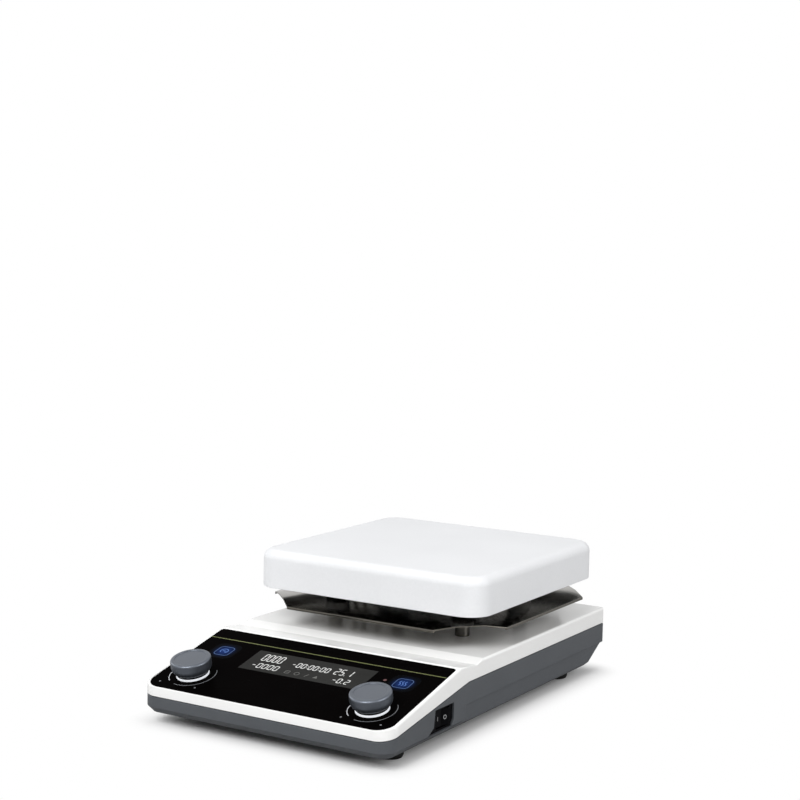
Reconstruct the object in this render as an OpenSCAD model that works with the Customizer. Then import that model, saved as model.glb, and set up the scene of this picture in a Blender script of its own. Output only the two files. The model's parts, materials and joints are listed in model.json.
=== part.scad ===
// Heated magnetic stirrer: a square ceramic-coated hot plate on a low case with a sloped control panel.
// Millimetres, +X right, +Y rear, +Z up. The origin is on the table, under the middle of the case.

/* [Case] */
// Width of the case
body_w = 186; // [182:1:210]
// Length of the case, front to rear
body_l = 297; // [290:1:330]
// Height of the tray's underside above the table
base_z = 7.5; // [6:0.5:9]
// Height of the flat deck above the table
deck_z = 46; // [45:0.5:54]
// Height of the level part of the seam between tray and cover
seam_z = 35; // [34:0.5:37]
// Height of the seam at the front
seam_front_z = 18.8; // [18:0.2:20]
// Distance from the front at which the seam levels out
seam_bend = 95.5; // [94:0.5:100]
// Wall of the moulded cover
wall = 2.5; // [2:0.1:2.8]
// Thickness of the deck
deck_t = 3; // [2.5:0.1:3.2]
// Floor of the tray
floor_t = 2.5; // [2:0.1:3]
// Radius of the front corners, seen from above
front_corner_r = 11; // [8:0.5:12]
// Radius of the rear corners, seen from above
rear_corner_r = 2.5; // [2:0.5:6]
// Rounding along the cover's upper edges
edge_r = 1.6; // [0.8:0.1:1.8]
// Height of the tongue on the tray, above the seam
lip_h = 2; // [1:0.25:2.4]
// Thickness of the tongue on the tray
lip_t = 1.4; // [1.2:0.1:1.8]
// Gap between the tongue and the cover
lip_gap = 0.3; // [0.2:0.05:0.5]
// Height of the open line along the seam
seam_gap = 0.6; // [0.5:0.05:0.8]
// Depth of the open line along the seam
seam_step = 0.8; // [0.6:0.1:1]
// Bevel along the tray's lower edges, at the front and the sides
low_bevel = 4; // [1:0.5:4.5]
// Height at which the tray's undercut rear starts
rear_slope_z = 21; // [20:0.5:21]
// Length of the tray's undercut rear
rear_slope_run = 24.5; // [22:0.5:25]
// Depth of the finger grip along each side
grip_depth = 2; // [1:0.25:2.2]
// Height of the finger grip's upper edge
grip_z = 21; // [18:0.5:22]
// Distance from the front to the finger grip
grip_start = 91.5; // [86:0.5:110]

/* [Control slope] */
// Height of the cover's front edge, where the slope starts
front_top_z = 25.2; // [24.6:0.2:25.6]
// Angle of the control slope
slope_deg = 13.8; // [13.4:0.1:14.2]
// Run from the ridge down to the bottom of the drip gutter
gutter_near = 20.5; // [16:0.5:22]
// Run from the bottom of the drip gutter up to the deck
gutter_far = 9.3; // [6:0.1:10]
// Depth of the drip gutter
gutter_depth = 2.4; // [1:0.1:2.8]
// Thickness of the black panel
panel_t = 1.2; // [1:0.1:1.6]
// Margin of the case beside the panel
panel_side_gap = 2; // [1.8:0.1:4]
// Margin of the case in front of the panel
panel_front_gap = 0.8; // [0.6:0.1:2]
// Margin of the case behind the panel
panel_rear_gap = 1.9; // [1:0.1:3]
// Radius of the panel's front corners
panel_front_r = 11; // [9:0.5:12]
// Radius of the panel's rear corners
panel_rear_r = 2.5; // [1:0.5:4]
// Gap around inlaid pieces
inlay_gap = 0.1; // [0.05:0.05:0.2]
// Width of the display window
display_w = 91; // [80:1:96]
// Height of the display window, along the slope
display_h = 25.5; // [22:0.5:27]
// Distance from the front edge to the display window, along the slope
display_t = 40.5; // [39:0.5:42]
// Border of the display module hidden behind the panel
display_border = 1.5; // [1:0.25:2]
// Thickness of the display module
display_depth = 4; // [3:0.5:5]

/* [Knobs] */
// Distance from the sides of the case to the knobs' axes
knob_side = 25; // [23:0.5:27]
// Distance from the front edge to the knobs, along the slope
knob_t = 22.5; // [21:0.5:24]
// Diameter of a knob
knob_d = 26.4; // [25:0.2:28]
// Diameter of a knob at its foot
knob_foot_d = 20.9; // [20:0.1:22]
// Height over which a knob's side bows in to its foot
knob_bow_h = 4.5; // [4:0.1:5.5]
// Height of a knob's cap
knob_h = 9.4; // [8:0.1:11]
// Rounding of a knob's upper rim
knob_edge = 1.4; // [0.6:0.1:2]
// Wall of a knob
knob_wall = 1.8; // [1.4:0.1:2.4]
// Outer diameter of the light ring under a knob
ring_d = 21.4; // [21:0.1:23]
// Width of the light ring
ring_w = 3; // [2:0.25:4]
// Height of the light ring
ring_h = 1.7; // [1.5:0.1:2.6]
// Travel of a knob when it is pressed
push_travel = 0.6; // [0.4:0.1:0.8]
// Room left under a fully pressed knob
push_room = 0.1; // [0.05:0.05:0.3]
// Diameter of the encoder shaft
shaft_d = 6; // [5:0.25:6.5]
// Running clearance around a shaft, on the radius
run_gap = 0.05; // [0.03:0.01:0.08]
// Wall of the encoder's threaded bush
bush_wall = 0.8; // [0.6:0.1:1]
// Side of the square encoder body
encoder_side = 12; // [11:0.5:14]
// Height of the encoder body
encoder_h = 7.8; // [7.4:0.1:8.2]
// Thickness of the circuit boards
board_t = 1.6; // [1.2:0.1:1.8]

/* [Power switch] */
// Distance from the front to the middle of the switch
switch_front = 64.7; // [62:0.1:68]
// Height of the middle of the switch
switch_z = 18.9; // [18:0.1:19.2]
// Length of the switch's frame
switch_l = 23.6; // [23.4:0.1:24]
// Height of the switch's frame
switch_h = 14; // [13.9:0.1:14.1]
// Length of the frame's pointed lower front corner
switch_tail = 6.4; // [5:0.1:7]
// Thickness of the switch's frame
switch_t = 2; // [1.6:0.1:2.2]
// How far the switch's frame lies below the side of the case
switch_sunk = 1.2; // [1:0.1:1.4]
// Length of the rocker
rocker_l = 14.4; // [13:0.2:14.6]
// Height of the rocker
rocker_h = 10.8; // [10:0.1:11]
// Swing of the rocker to each side of its middle
rocker_tilt = 8; // [5:0.5:8]
// Diameter of the rocker's pivot pins
pivot_d = 2.4; // [2:0.1:2.8]

/* [Hot plate] */
// Side of the square hot plate
plate_side = 177; // [172:1:180]
// Height of the hot plate
plate_h = 26; // [25:0.5:30]
// Distance from the rear of the case to the hot plate
plate_setback = 6.1; // [4:0.1:8]
// Radius of the hot plate's upright corners
plate_corner_r = 17; // [12:1:24]
// Rounding of the hot plate's upper edge
plate_edge_r = 6.5; // [3:0.5:7]
// Thickness of the hot plate's top
plate_top_t = 8; // [7.5:0.5:10]
// Wall of the hot plate's skirt
plate_wall = 5; // [4:0.5:6]
// Thickness of the heating element
heater_t = 3; // [2:0.5:4]
// Thickness of the insulation pad
pad_t = 6; // [5:0.5:7]
// Thickness of the steel plate that holds the pad up
press_t = 1; // [0.8:0.1:1.5]
// Room between the heating stack and the skirt
stack_gap = 3; // [2:0.5:4]
// Diameter of the support posts
post_d = 10; // [9:0.5:12]
// Height of the support posts
post_h = 15.2; // [14:0.2:18]
// Distance from the hot plate's sides to the middle of a post
post_side = 37.5; // [36:0.5:40]
// Distance from the hot plate's front and rear to the middle of a post
post_end = 46.5; // [40:0.5:48]
// Diameter of the ceramic spacers
spacer_d = 14; // [12:0.5:16]
// Height of the ceramic spacers
spacer_h = 8; // [7:0.5:10]
// Diameter of the long tie screws
tie_d = 4; // [3.5:0.1:4.5]
// Clearance of a screw in a plain hole, on the diameter
screw_gap = 0.4; // [0.3:0.05:0.6]

/* [Heat shield] */
// Thickness of the shield's sheet
shield_t = 0.8; // [0.6:0.1:1]
// Distance from the middle to the shield's bends
shield_flat = 81.5; // [80:0.5:84]
// Distance from the middle to the shield's rim
shield_rim = 92.6; // [90:0.2:93]
// Drop of the shield's lips
shield_drop = 2; // [1.5:0.1:3]
// Where the shield's corners are cut, as the sum of X and Y
shield_cut = 150; // [146:1:154]
// Height of the shield's turned-down hem
hem_h = 1.8; // [1:0.1:3]

/* [Drive] */
// Diameter of the motor
motor_d = 54; // [48:1:56]
// Height of the motor
motor_h = 22; // [18:0.5:24]
// Diameter of the motor's front boss
motor_boss_d = 16; // [14:0.5:18]
// Thickness of the motor bracket
bracket_t = 2; // [1.5:0.1:2.2]
// Room between the motor bracket and the deck
bracket_room = 3; // [2.8:0.1:4]
// Diameter of the motor shaft
motor_shaft_d = 6; // [5:0.5:8]
// Diameter of the magnet yoke
yoke_d = 88; // [80:1:92]
// Thickness of the magnet yoke
yoke_t = 3; // [2:0.5:4]
// Diameter of the magnet yoke's hub
hub_d = 16; // [14:0.5:18]
// Height of the hub above the yoke
hub_h = 6; // [5:0.5:6.5]
// Diameter of a magnet
magnet_d = 22; // [18:0.5:24]
// Height of a magnet
magnet_h = 7; // [6:0.5:8]
// Distance from the axis to a magnet
magnet_off = 30; // [26:0.5:31]
// Room between the magnets and the heating stack
magnet_room = 2; // [1.2:0.1:3]
// Bore of the splash collar on the deck
collar_bore = 14; // [12:0.5:16]
// Wall of the splash collar
collar_wall = 2.5; // [2:0.1:3]
// Height of the splash collar above the deck
collar_h = 8; // [5:0.5:10]

/* [Rear sockets] */
// Width of the rear opening
rear_open_w = 120; // [116:1:126]
// Height at which the rear opening starts
rear_open_z = 21.6; // [21.2:0.1:22]
// Thickness of the rear panel
rear_panel_t = 2.2; // [2:0.1:2.6]
// Distance from the middle to the mains inlet
inlet_x = 36; // [32:0.5:38]
// Width of the mains inlet's socket
inlet_w = 24.4; // [24:0.1:25]
// Height of the mains inlet's socket
inlet_h = 16.6; // [16.2:0.1:16.8]
// Depth of the mains inlet's socket
inlet_depth = 17; // [16:0.5:18]
// Wall of the mains inlet
inlet_wall = 1.3; // [1.2:0.1:1.4]
// Distance from the middle to the temperature probe's socket
probe_x = -4; // [-8:0.5:0]
// Bore of the temperature probe's socket
probe_bore = 6.4; // [6:0.1:7]
// Depth of the temperature probe's socket
probe_depth = 15; // [12:0.5:16]
// Distance from the middle to the support rod's socket
rod_x = -40; // [-44:0.5:-34]
// Plain bore of the support rod's M8 thread
rod_bore = 6.8; // [6.6:0.1:8.4]
// Depth of the support rod's socket
rod_depth = 18; // [14:0.5:20]

/* [Feet and screws] */
// Diameter of a rubber foot
foot_d = 16; // [14:0.5:18]
// Distance from the side of the case to the feet
foot_side = 18.5; // [17:0.5:19]
// Distance from the front to the front feet
foot_front = 33; // [31:0.5:34]
// Distance from the rear to the rear feet
foot_rear = 39.5; // [39:0.5:44]
// Diameter of the small screws
screw_d = 3; // [2.5:0.1:3.2]
// Diameter of the small screws' heads
head_d = 5.6; // [5.2:0.1:6]
// Height of the small screws' heads
head_h = 2.2; // [1.8:0.1:2.4]
// Wall around a screw in a boss
boss_wall = 2.4; // [2:0.1:2.6]

/* [Hidden] */
$fn = 64;
eps = 0.01;
cut = 20;

// Colours, as they look under plain light
white_coat = [0.93, 0.93, 0.92];
tray_grey = [0.36, 0.38, 0.39];
panel_black = [0.03, 0.03, 0.03];
knob_grey = [0.42, 0.44, 0.46];
steel = [0.75, 0.75, 0.74];
board_green = [0.10, 0.32, 0.18];
rubber_black = [0.06, 0.06, 0.06];
ceramic_dark = [0.16, 0.16, 0.17];

// Case lines, seen from the side
front_y = -body_l / 2;
rear_y = body_l / 2;
bend_y = front_y + seam_bend;
ridge_y = front_y + (deck_z - front_top_z) / tan(slope_deg);
valley_y = ridge_y + gutter_near;
gutter_end_y = valley_y + gutter_far;
gutter_z = deck_z - gutter_depth;
slope_l = (deck_z - front_top_z) / sin(slope_deg);
slope_wall = panel_t + wall;
deck_under = deck_z - deck_t;
gutter_under = gutter_z - wall;
floor_z = base_z + floor_t;
tray_wall = wall + lip_gap + lip_t;
rear_angle = atan2(rear_slope_z - base_z, rear_slope_run);

// Holes for the small screws
thread_gap = 0.04;
pilot_d = screw_d + thread_gap;
boss_d = pilot_d + 2 * boss_wall;
clear_d = screw_d + screw_gap;
head_hole_d = head_d + 1;

// Control panel, in its own frame along the slope
panel_w = body_w - 2 * panel_side_gap;
panel_l = slope_l - panel_front_gap - panel_rear_gap;
display_mid_t = display_t + display_h / 2;
module_w = display_w + 2 * display_border;
module_h = display_h + 2 * display_border;
module_gap = 0.5;
knob_x = body_w / 2 - knob_side;
bush_d = shaft_d + 2 * run_gap + 2 * bush_wall;
bush_drop = 0.2;
bush_top = ring_h - bush_drop;
bush_hole_d = bush_d + screw_gap;
knob_bottom = ring_h + push_travel + push_room;
knob_top = knob_bottom + knob_h;
knob_boss_d = bush_d + 2 + 2 * knob_wall;
knob_dish = 0.35;
shaft_top = knob_top - knob_wall;
encoder_top = -slope_wall;
board_top = encoder_top - encoder_h;
encoder_floor = 0.7;
plunger_h = 1;
plunger_room = 0.1;
plunger_d = shaft_d - 2 * plunger_room;
plunger_bottom = board_top + encoder_floor + push_travel + plunger_room;
shaft_bottom = plunger_bottom + plunger_h + run_gap;
board_side = 15;
board_w = body_w - 2 * board_side;
board_front_t = 7;
board_rear_t = 79;
board_screw_in = 5;
board_screw_x = board_w / 2 - board_screw_in;
board_screw_t = [11, 75];
screw_bite = 6;

// Power switch, on the right side
side_x = body_w / 2;
switch_y = front_y + switch_front;
switch_pocket = switch_sunk + switch_t;
pocket_gap = 0.25;
switch_tail_h = 3.8;
switch_lean = 1.4;
switch_cut_l = 2.4;
switch_cut_h = 4;
pocket_pad = 1.5;
pad_side = 4;
pad_rise = 3;
frame_wall = 0.65;
frame_end = 2.4;
frame_lap = 0.55;
frame_l = switch_l - 2 * frame_end;
frame_h = switch_h - 2 * frame_lap;
frame_depth = 14;
frame_back = 2;
window_end = 1.4;
window_l = frame_l - 2 * window_end;
rocker_rise = 1;
rocker_face = switch_sunk + rocker_rise;
rocker_pivot = switch_sunk + 4.3;
rocker_back = rocker_pivot + 2.5;
blade_l = 5;
blade_w = 4.8;
blade_t = 0.8;
pivot_end = 0.1;
cable_d = 4;
cable_drop = 6;
cable_turn = 20.8;
cable_cross = 37.8;
cable_end = 11;
cable_lap = 6;

// Hot plate, shield and posts
plate_y = rear_y - plate_setback - plate_side / 2;
shield_under = deck_z + post_h;
shield_top = shield_under + shield_t;
plate_z = shield_top + spacer_h;
plate_top = plate_z + plate_h;
post_x = plate_side / 2 - post_side;
post_y = plate_side / 2 - post_end;
ceiling_z = plate_top - plate_top_t;
heater_z = ceiling_z - heater_t;
pad_z = heater_z - pad_t;
press_z = pad_z - press_t;
stack_side = plate_side - 2 * plate_wall - 2 * stack_gap;
stack_corner_r = plate_corner_r - plate_wall - stack_gap;
plate_boss_d = spacer_d + 2;
plate_boss_gap = 1;
tie_head_d = 1.8 * tie_d;
tie_head_h = tie_d * 0.9;
tie_bite = 14;
tie_hole_d = tie_d + screw_gap;
press_screw_x = 40;
press_screw_y = 62;
press_bite = 4;

// Drive
magnet_z = press_z - magnet_room - magnet_h;
yoke_z = magnet_z - yoke_t;
hub_top = magnet_z + hub_h;
bracket_top = deck_under - bracket_room;
bracket_z = bracket_top - bracket_t;
motor_z = bracket_z - motor_h;
bracket_side = 62;
bracket_screw_off = 25;
motor_screw_off = 17;
shaft_seat = 3;
shield_hole_d = collar_bore + 6;
magnet_seat = 0.5;
grub_in = 0.3;
motor_bite = 4;

// Power board, between the tray's wall and the bracket's bosses, and what stands on it
board_wall_gap = 5.8;
board_boss_gap = 4.1;
power_board_left = tray_wall + board_wall_gap - side_x;
power_board_right = -bracket_screw_off - boss_d / 2 - board_boss_gap;
power_board_w = power_board_right - power_board_left;
power_board_l = 98;
power_board_x = (power_board_left + power_board_right) / 2;
power_board_shift = 4;
power_board_y = plate_y + power_board_shift;
standoff_h = 6;
power_board_z = floor_z + standoff_h;
power_top = power_board_z + board_t;
power_screw_in = 4;
power_screw_x = power_board_w / 2 - power_screw_in;
power_screw_y = power_board_l / 2 - 2 * power_screw_in - 1;
lead_x = power_board_x;
lead_d = 3;
lead_gap = 1.5;
heater_lead_off = 6;
sensor_off = 25;
cutout_off = -27;
sensor_d = 4;
sensor_h = 18;
sensor_drop = 4;
cutout_d = 14;
cutout_h = 6;
terminal_h = 10;
terminal_w = 14;
terminal_end = 5;
sensor_terminal_w = 9;
sensor_terminal_l = 6;
cutout_terminal_l = 12;
part_gap = 2;
core_w = 10;
core_l = 26;
core_h = 14;
coil_in = 2;
coil_h = 3;
core_screw_gap = 1;
sink_h = 16;
sink_l = 30;
sink_t = 2;
sink_edge = 3;
fin_w = 8;
fin_t = 1.5;
fin_pitch = 6;
fins = 5;
ribbon_w = 9;
ribbon_t = 1.2;
ribbon_gap = 1;

// Rear sockets
rear_lap = 6;
rear_panel_w = rear_open_w + 2 * rear_lap;
rear_panel_gap = 0.1;
rear_face = rear_y - tray_wall - rear_panel_gap;
rear_inner = rear_face - rear_panel_t;
rear_sill = 0.6;
rear_room = 0.2;
rear_panel_z = rear_open_z + rear_sill;
rear_panel_top = deck_under - rear_room;
socket_z = (rear_panel_z + rear_panel_top) / 2;
flange_t = 2;
inlet_body_w = inlet_w + 2 * inlet_wall;
inlet_body_h = inlet_h + 2 * inlet_wall;
inlet_flange_w = inlet_body_w + 4;
inlet_flange_h = inlet_body_h + 1.2;
inlet_floor_y = rear_face + flange_t - inlet_depth;
inlet_back_y = inlet_floor_y - 4;
pin_w = 2;
pin_h = 4;
pin_pitch = 14;
pin_rise = 2;
pin_recess = 5;
tag_l = 8;
mains_d = 5;
mains_run = 26;
fit_gap = 0.15;
rib_w = 4;
rib_t = 3;
rib_out = 3;
rib_drop = 4;
probe_d = 12;
probe_flange_d = 16;
rod_d = 14;
rod_flange_d = 18;

// Feet and screws
foot_x = side_x - foot_side;
foot_front_y = front_y + foot_front;
foot_rear_y = rear_y - foot_rear;
foot_head_z = 2.2;
foot_soft = 1.6;
foot_soft_h = 2;
foot_boss_h = 5;
case_screw_in = 9;
case_screw_x = side_x - case_screw_in;
case_screw_front = 20.5;
case_screw_mid = 120.5;
case_screw_rear = 30;
case_screw_y = [front_y + case_screw_front, front_y + case_screw_mid, rear_y - case_screw_rear];
case_joint_z = 16;
case_head_z = floor_z + 1;
case_bite = 7;
head_wall = 1;

// Frames that pieces are placed in
module on_slope() {
    translate([0, front_y, front_top_z]) rotate([slope_deg, 0, 0]) children();
}

module at_plate() {
    translate([0, plate_y, 0]) children();
}

module at_switch() {
    translate([side_x, switch_y, switch_z]) children();
}

module at_knob(side) {
    on_slope() translate([side * knob_x, knob_t, 0]) children();
}

module each_post() {
    for (x = [-1, 1], y = [-1, 1])
        translate([x * post_x, plate_y + y * post_y, 0]) children();
}

module each_case_screw() {
    for (x = [-1, 1], y = case_screw_y)
        translate([x * case_screw_x, y, 0]) children();
}

module each_foot() {
    for (x = [-1, 1], y = [foot_front_y, foot_rear_y])
        translate([x * foot_x, y, 0]) children();
}

module each_board_screw() {
    for (x = [-1, 1], t = board_screw_t)
        translate([x * board_screw_x, t, 0]) children();
}

module each_power_screw() {
    for (x = [-1, 1], y = [-1, 1])
        translate([power_board_x + x * power_screw_x, power_board_y + y * power_screw_y, 0]) children();
}

module each_bracket_screw() {
    for (x = [-1, 1], y = [-1, 1])
        translate([x * bracket_screw_off, plate_y + y * bracket_screw_off, 0]) children();
}

module each_press_screw() {
    for (x = [-1, 1], y = [-1, 1])
        translate([x * press_screw_x, plate_y + y * press_screw_y, 0]) children();
}

// Outlines and simple shapes that several pieces share
module rounded_plan(w, l, front_r, rear_r) {
    translate([-w / 2, -l / 2 + front_r]) square([w, l - front_r - rear_r]);
    translate([-w / 2 + front_r, -l / 2]) square([w - 2 * front_r, l / 2]);
    translate([-w / 2 + rear_r, 0]) square([w - 2 * rear_r, l / 2]);
    for (x = [-1, 1]) {
        translate([x * (w / 2 - front_r), -l / 2 + front_r]) circle(front_r);
        translate([x * (w / 2 - rear_r), l / 2 - rear_r]) circle(rear_r);
    }
}

module case_plan(inset) {
    front_r = max(front_corner_r - inset, 1);
    rear_r = max(rear_corner_r - inset, 1);
    rounded_plan(body_w - 2 * inset, body_l - 2 * inset, front_r, rear_r);
}

module case_block(inset) {
    linear_extrude(deck_z + cut) case_plan(inset);
}

// A side outline in Y and Z, carried across the width
module across(w) {
    translate([-w / 2, 0, 0]) rotate([90, 0, 90]) linear_extrude(w) children();
}

module below_seam(rise) {
    across(body_w + cut)
        polygon([
            [front_y - eps, -cut],
            [front_y - eps, seam_front_z + rise],
            [bend_y, seam_z + rise],
            [rear_y + eps, seam_z + rise],
            [rear_y + eps, -cut],
        ]);
}

module tube(outer_d, inner_d, h) {
    difference() {
        cylinder(d = outer_d, h = h);
        translate([0, 0, -1]) cylinder(d = inner_d, h = h + 2);
    }
}

// A screw with a cylindrical head below its shank; the head rests on z = 0
module screw_up(d, head_d, head_h, l) {
    translate([0, 0, -head_h]) cylinder(d = head_d, h = head_h);
    translate([0, 0, -eps]) cylinder(d = d, h = l + eps);
}

module screw_down(d, head_d, head_h, l) {
    rotate([180, 0, 0]) screw_up(d, head_d, head_h, l);
}

module strut(a, b, d) {
    v = b - a;
    l = norm(v);
    translate(a) rotate([0, acos(v[2] / l), atan2(v[1], v[0])]) cylinder(d = d, h = l);
}

// A wire laid in straight runs, with a ball in each corner
module wire(points, d) {
    corner = 1.15;
    for (i = [0 : len(points) - 2]) strut(points[i], points[i + 1], d);
    for (i = [1 : len(points) - 2]) translate(points[i]) sphere(d = d * corner);
}

// Rounding bars that trim the cover's long upper edges
module edge_section() {
    depth = deck_z + cut;
    translate([-body_w / 2, -depth]) square([body_w, depth - edge_r]);
    translate([-body_w / 2 + edge_r, -depth]) square([body_w - 2 * edge_r, depth]);
    for (x = [-1, 1]) translate([x * (body_w / 2 - edge_r), -edge_r]) circle(edge_r);
}

// The two bars meet in a mitre at the ridge
module at_ridge_mitre() {
    translate([-body_w, ridge_y, deck_z]) rotate([slope_deg / 2, 0, 0]) children();
}

module cover_edges() {
    block = [2 * body_w, 2 * body_l, 2 * body_l];
    intersection() {
        translate([0, rear_y + cut, deck_z])
            rotate([90, 0, 0]) linear_extrude(body_l + 2 * cut) edge_section();
        at_ridge_mitre() translate([0, 0, -body_l]) cube(block);
    }
    intersection() {
        on_slope() translate([0, slope_l + 2 * cut, 0])
            rotate([90, 0, 0]) linear_extrude(slope_l + 4 * cut) edge_section();
        at_ridge_mitre() translate([0, -2 * body_l, -body_l]) cube(block);
    }
}

// Case
module cover_shell() {
    slope_inner = front_top_z - slope_wall / cos(slope_deg);
    inner_y = front_y + wall;
    under_ridge_y = front_y + (gutter_under - slope_inner) / tan(slope_deg);
    difference() {
        intersection() {
            case_block(0);
            cover_edges();
            across(body_w + cut)
                polygon([
                    [front_y - cut, seam_front_z - cut],
                    [front_y - cut, front_top_z - cut * tan(slope_deg)],
                    [ridge_y, deck_z],
                    [valley_y, gutter_z],
                    [gutter_end_y, deck_z],
                    [rear_y + cut, deck_z],
                    [rear_y + cut, seam_front_z - cut],
                ]);
        }
        below_seam(0);
        intersection() {
            case_block(wall);
            across(body_w)
                polygon([
                    [inner_y - cut, -cut],
                    [inner_y - cut, slope_inner + (wall - cut) * tan(slope_deg)],
                    [under_ridge_y, gutter_under],
                    [gutter_end_y + wall, gutter_under],
                    [gutter_end_y + wall, deck_under],
                    [rear_y, deck_under],
                    [rear_y, -cut],
                ]);
        }
    }
}

module cover_bosses() {
    intersection() {
        each_case_screw() translate([0, 0, case_joint_z]) cylinder(d = boss_d, h = deck_z);
        case_block(wall + eps);
        across(body_w)
            polygon([
                [front_y, 0],
                [front_y, front_top_z - panel_t - wall / 2],
                [ridge_y, deck_z - panel_t - wall / 2],
                [ridge_y, gutter_under + eps],
                [gutter_end_y + wall, gutter_under + eps],
                [gutter_end_y + wall, deck_under + eps],
                [rear_y, deck_under + eps],
                [rear_y, 0],
            ]);
    }
    on_slope() each_board_screw()
        translate([0, 0, board_top]) cylinder(d = boss_d, h = encoder_h + eps);
}

module lead_holes(d) {
    for (y = [-heater_lead_off, heater_lead_off, sensor_off, cutout_off])
        translate([lead_x, plate_y + y, 0])
            cylinder(d = (y == cutout_off) ? d + 2 * lead_d : d, h = plate_top);
}

module top_cover() {
    color(white_coat) difference() {
        union() {
            cover_shell();
            cover_bosses();
            at_plate() translate([0, 0, deck_under])
                cylinder(d = collar_bore + 2 * collar_wall, h = deck_t + collar_h);
        }
        on_slope() translate([0, panel_front_gap + panel_l / 2, -panel_t])
            linear_extrude(cut)
                rounded_plan(panel_w + 2 * inlay_gap, panel_l + 2 * inlay_gap, panel_front_r, panel_rear_r);
        on_slope() translate([0, display_mid_t, -slope_wall - 1])
            linear_extrude(cut)
                square([module_w + 2 * module_gap, module_h + 2 * module_gap], center = true);
        for (side = [-1, 1])
            at_knob(side) translate([0, 0, -slope_wall - 1]) cylinder(d = bush_hole_d, h = cut);
        on_slope() each_board_screw()
            translate([0, 0, board_top - eps]) cylinder(d = pilot_d, h = screw_bite);
        each_case_screw() translate([0, 0, case_joint_z - eps]) cylinder(d = pilot_d, h = case_bite + 1);
        at_plate() translate([0, 0, deck_under - 1]) cylinder(d = collar_bore, h = cut);
        each_post() {
            translate([0, 0, deck_under - 1]) cylinder(d = tie_hole_d, h = cut);
            translate([0, 0, deck_under - cut]) cylinder(d = tie_head_d + screw_gap, h = cut);
        }
        intersection() {
            lead_holes(lead_d + lead_gap);
            translate([-body_w, -body_l, deck_under - 1]) cube([2 * body_w, 2 * body_l, cut]);
        }
        rear_opening();
    }
}

module rear_opening() {
    translate([-rear_open_w / 2, rear_y - 2 * tray_wall, rear_open_z])
        cube([rear_open_w, 4 * tray_wall, deck_under - rear_open_z]);
}

module tray_outside(inset, rise) {
    intersection() {
        case_block(inset);
        below_seam(rise);
        across(body_w + cut)
            polygon([
                [front_y, base_z + low_bevel],
                [front_y, deck_z],
                [rear_y, deck_z],
                [rear_y, rear_slope_z],
                [rear_y - rear_slope_run, base_z],
                [front_y + low_bevel, base_z],
            ]);
        rotate([0, 0, 90]) across(body_l + cut)
            polygon([
                [-side_x, base_z + low_bevel],
                [-side_x, deck_z],
                [side_x, deck_z],
                [side_x, base_z + low_bevel],
                [side_x - low_bevel, base_z],
                [low_bevel - side_x, base_z],
            ]);
    }
}

// What the bevel takes off under a rounded front corner, beyond the two flat bevels
module tray_corner_cuts() {
    r = front_corner_r;
    for (x = [-1, 1])
        translate([x * (side_x - r), front_y + r, base_z]) difference() {
            rotate([0, 0, x < 0 ? 180 : 270]) cube([r + 1, r + 1, low_bevel]);
            cylinder(r1 = r - low_bevel, r2 = r, h = low_bevel);
        }
}

module tray_hollow() {
    slope_y = rear_y - rear_slope_run - floor_t * sin(rear_angle)
        + (floor_t - floor_t * cos(rear_angle)) / tan(rear_angle);
    intersection() {
        case_block(tray_wall);
        across(body_w + cut)
            polygon([
                [front_y, floor_z],
                [front_y, deck_z + cut],
                [rear_y, deck_z + cut],
                [rear_y, floor_z + (rear_y - slope_y) * tan(rear_angle)],
                [slope_y, floor_z],
            ]);
    }
}

module tray_bosses() {
    boss_root = floor_z - eps;
    each_case_screw() translate([0, 0, boss_root])
        cylinder(d = head_hole_d + 2 * head_wall, h = case_joint_z - boss_root);
    each_foot() translate([0, 0, boss_root]) cylinder(d = boss_d, h = foot_boss_h);
    each_power_screw() translate([0, 0, boss_root]) cylinder(d = boss_d, h = power_board_z - boss_root);
    each_bracket_screw() translate([0, 0, boss_root]) cylinder(d = boss_d, h = bracket_z - boss_root);
    for (x = [-1, 1])
        translate([
            x * (rear_open_w / 2 + rib_out) - rib_w / 2,
            rear_inner - rear_panel_gap - rib_t,
            rear_open_z - rib_drop
        ])
            cube([rib_w, rib_t, seam_z - rear_open_z]);
    intersection() {
        below_seam(-0.3);
        at_switch() translate([-tray_wall - pocket_pad, -frame_l / 2 - pad_side, -frame_h / 2 - pad_rise])
            cube([pocket_pad + 1, frame_l + 2 * pad_side, frame_h + 2 * pad_rise]);
    }
}

module base_tray() {
    color(tray_grey) difference() {
        union() {
            difference() {
                union() {
                    tray_outside(0, -seam_gap);
                    tray_outside(seam_step, 0);
                    tray_outside(wall + lip_gap, lip_h);
                }
                tray_hollow();
                tray_corner_cuts();
                for (x = [-1, 1])
                    translate([x * side_x - grip_depth, front_y + grip_start, -cut])
                        cube([2 * grip_depth, body_l, grip_z + cut]);
            }
            tray_bosses();
        }
        each_case_screw() {
            translate([0, 0, base_z - 1]) cylinder(d = head_hole_d, h = case_head_z + head_h - base_z + 1);
            translate([0, 0, base_z]) cylinder(d = clear_d, h = deck_z);
        }
        each_foot() translate([0, 0, base_z - 1]) cylinder(d = pilot_d, h = floor_t + foot_boss_h);
        each_power_screw() translate([0, 0, power_board_z - screw_bite + 1])
            cylinder(d = pilot_d, h = screw_bite);
        each_bracket_screw() translate([0, 0, bracket_z - screw_bite - 2])
            cylinder(d = pilot_d, h = screw_bite + 3);
        at_switch() {
            translate([-switch_pocket, 0, 0]) rotate([90, 0, 90])
                linear_extrude(cut) switch_outline(pocket_gap);
            translate([-cut, -frame_l / 2 - fit_gap, -frame_h / 2 - fit_gap])
                cube([2 * cut, frame_l + 2 * fit_gap, frame_h + 2 * fit_gap]);
        }
        rear_opening();
        translate([-rear_panel_w / 2 - 1, rear_y - 2 * tray_wall, seam_z])
            cube([rear_panel_w + 2, 2 * tray_wall, cut]);
    }
}

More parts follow.
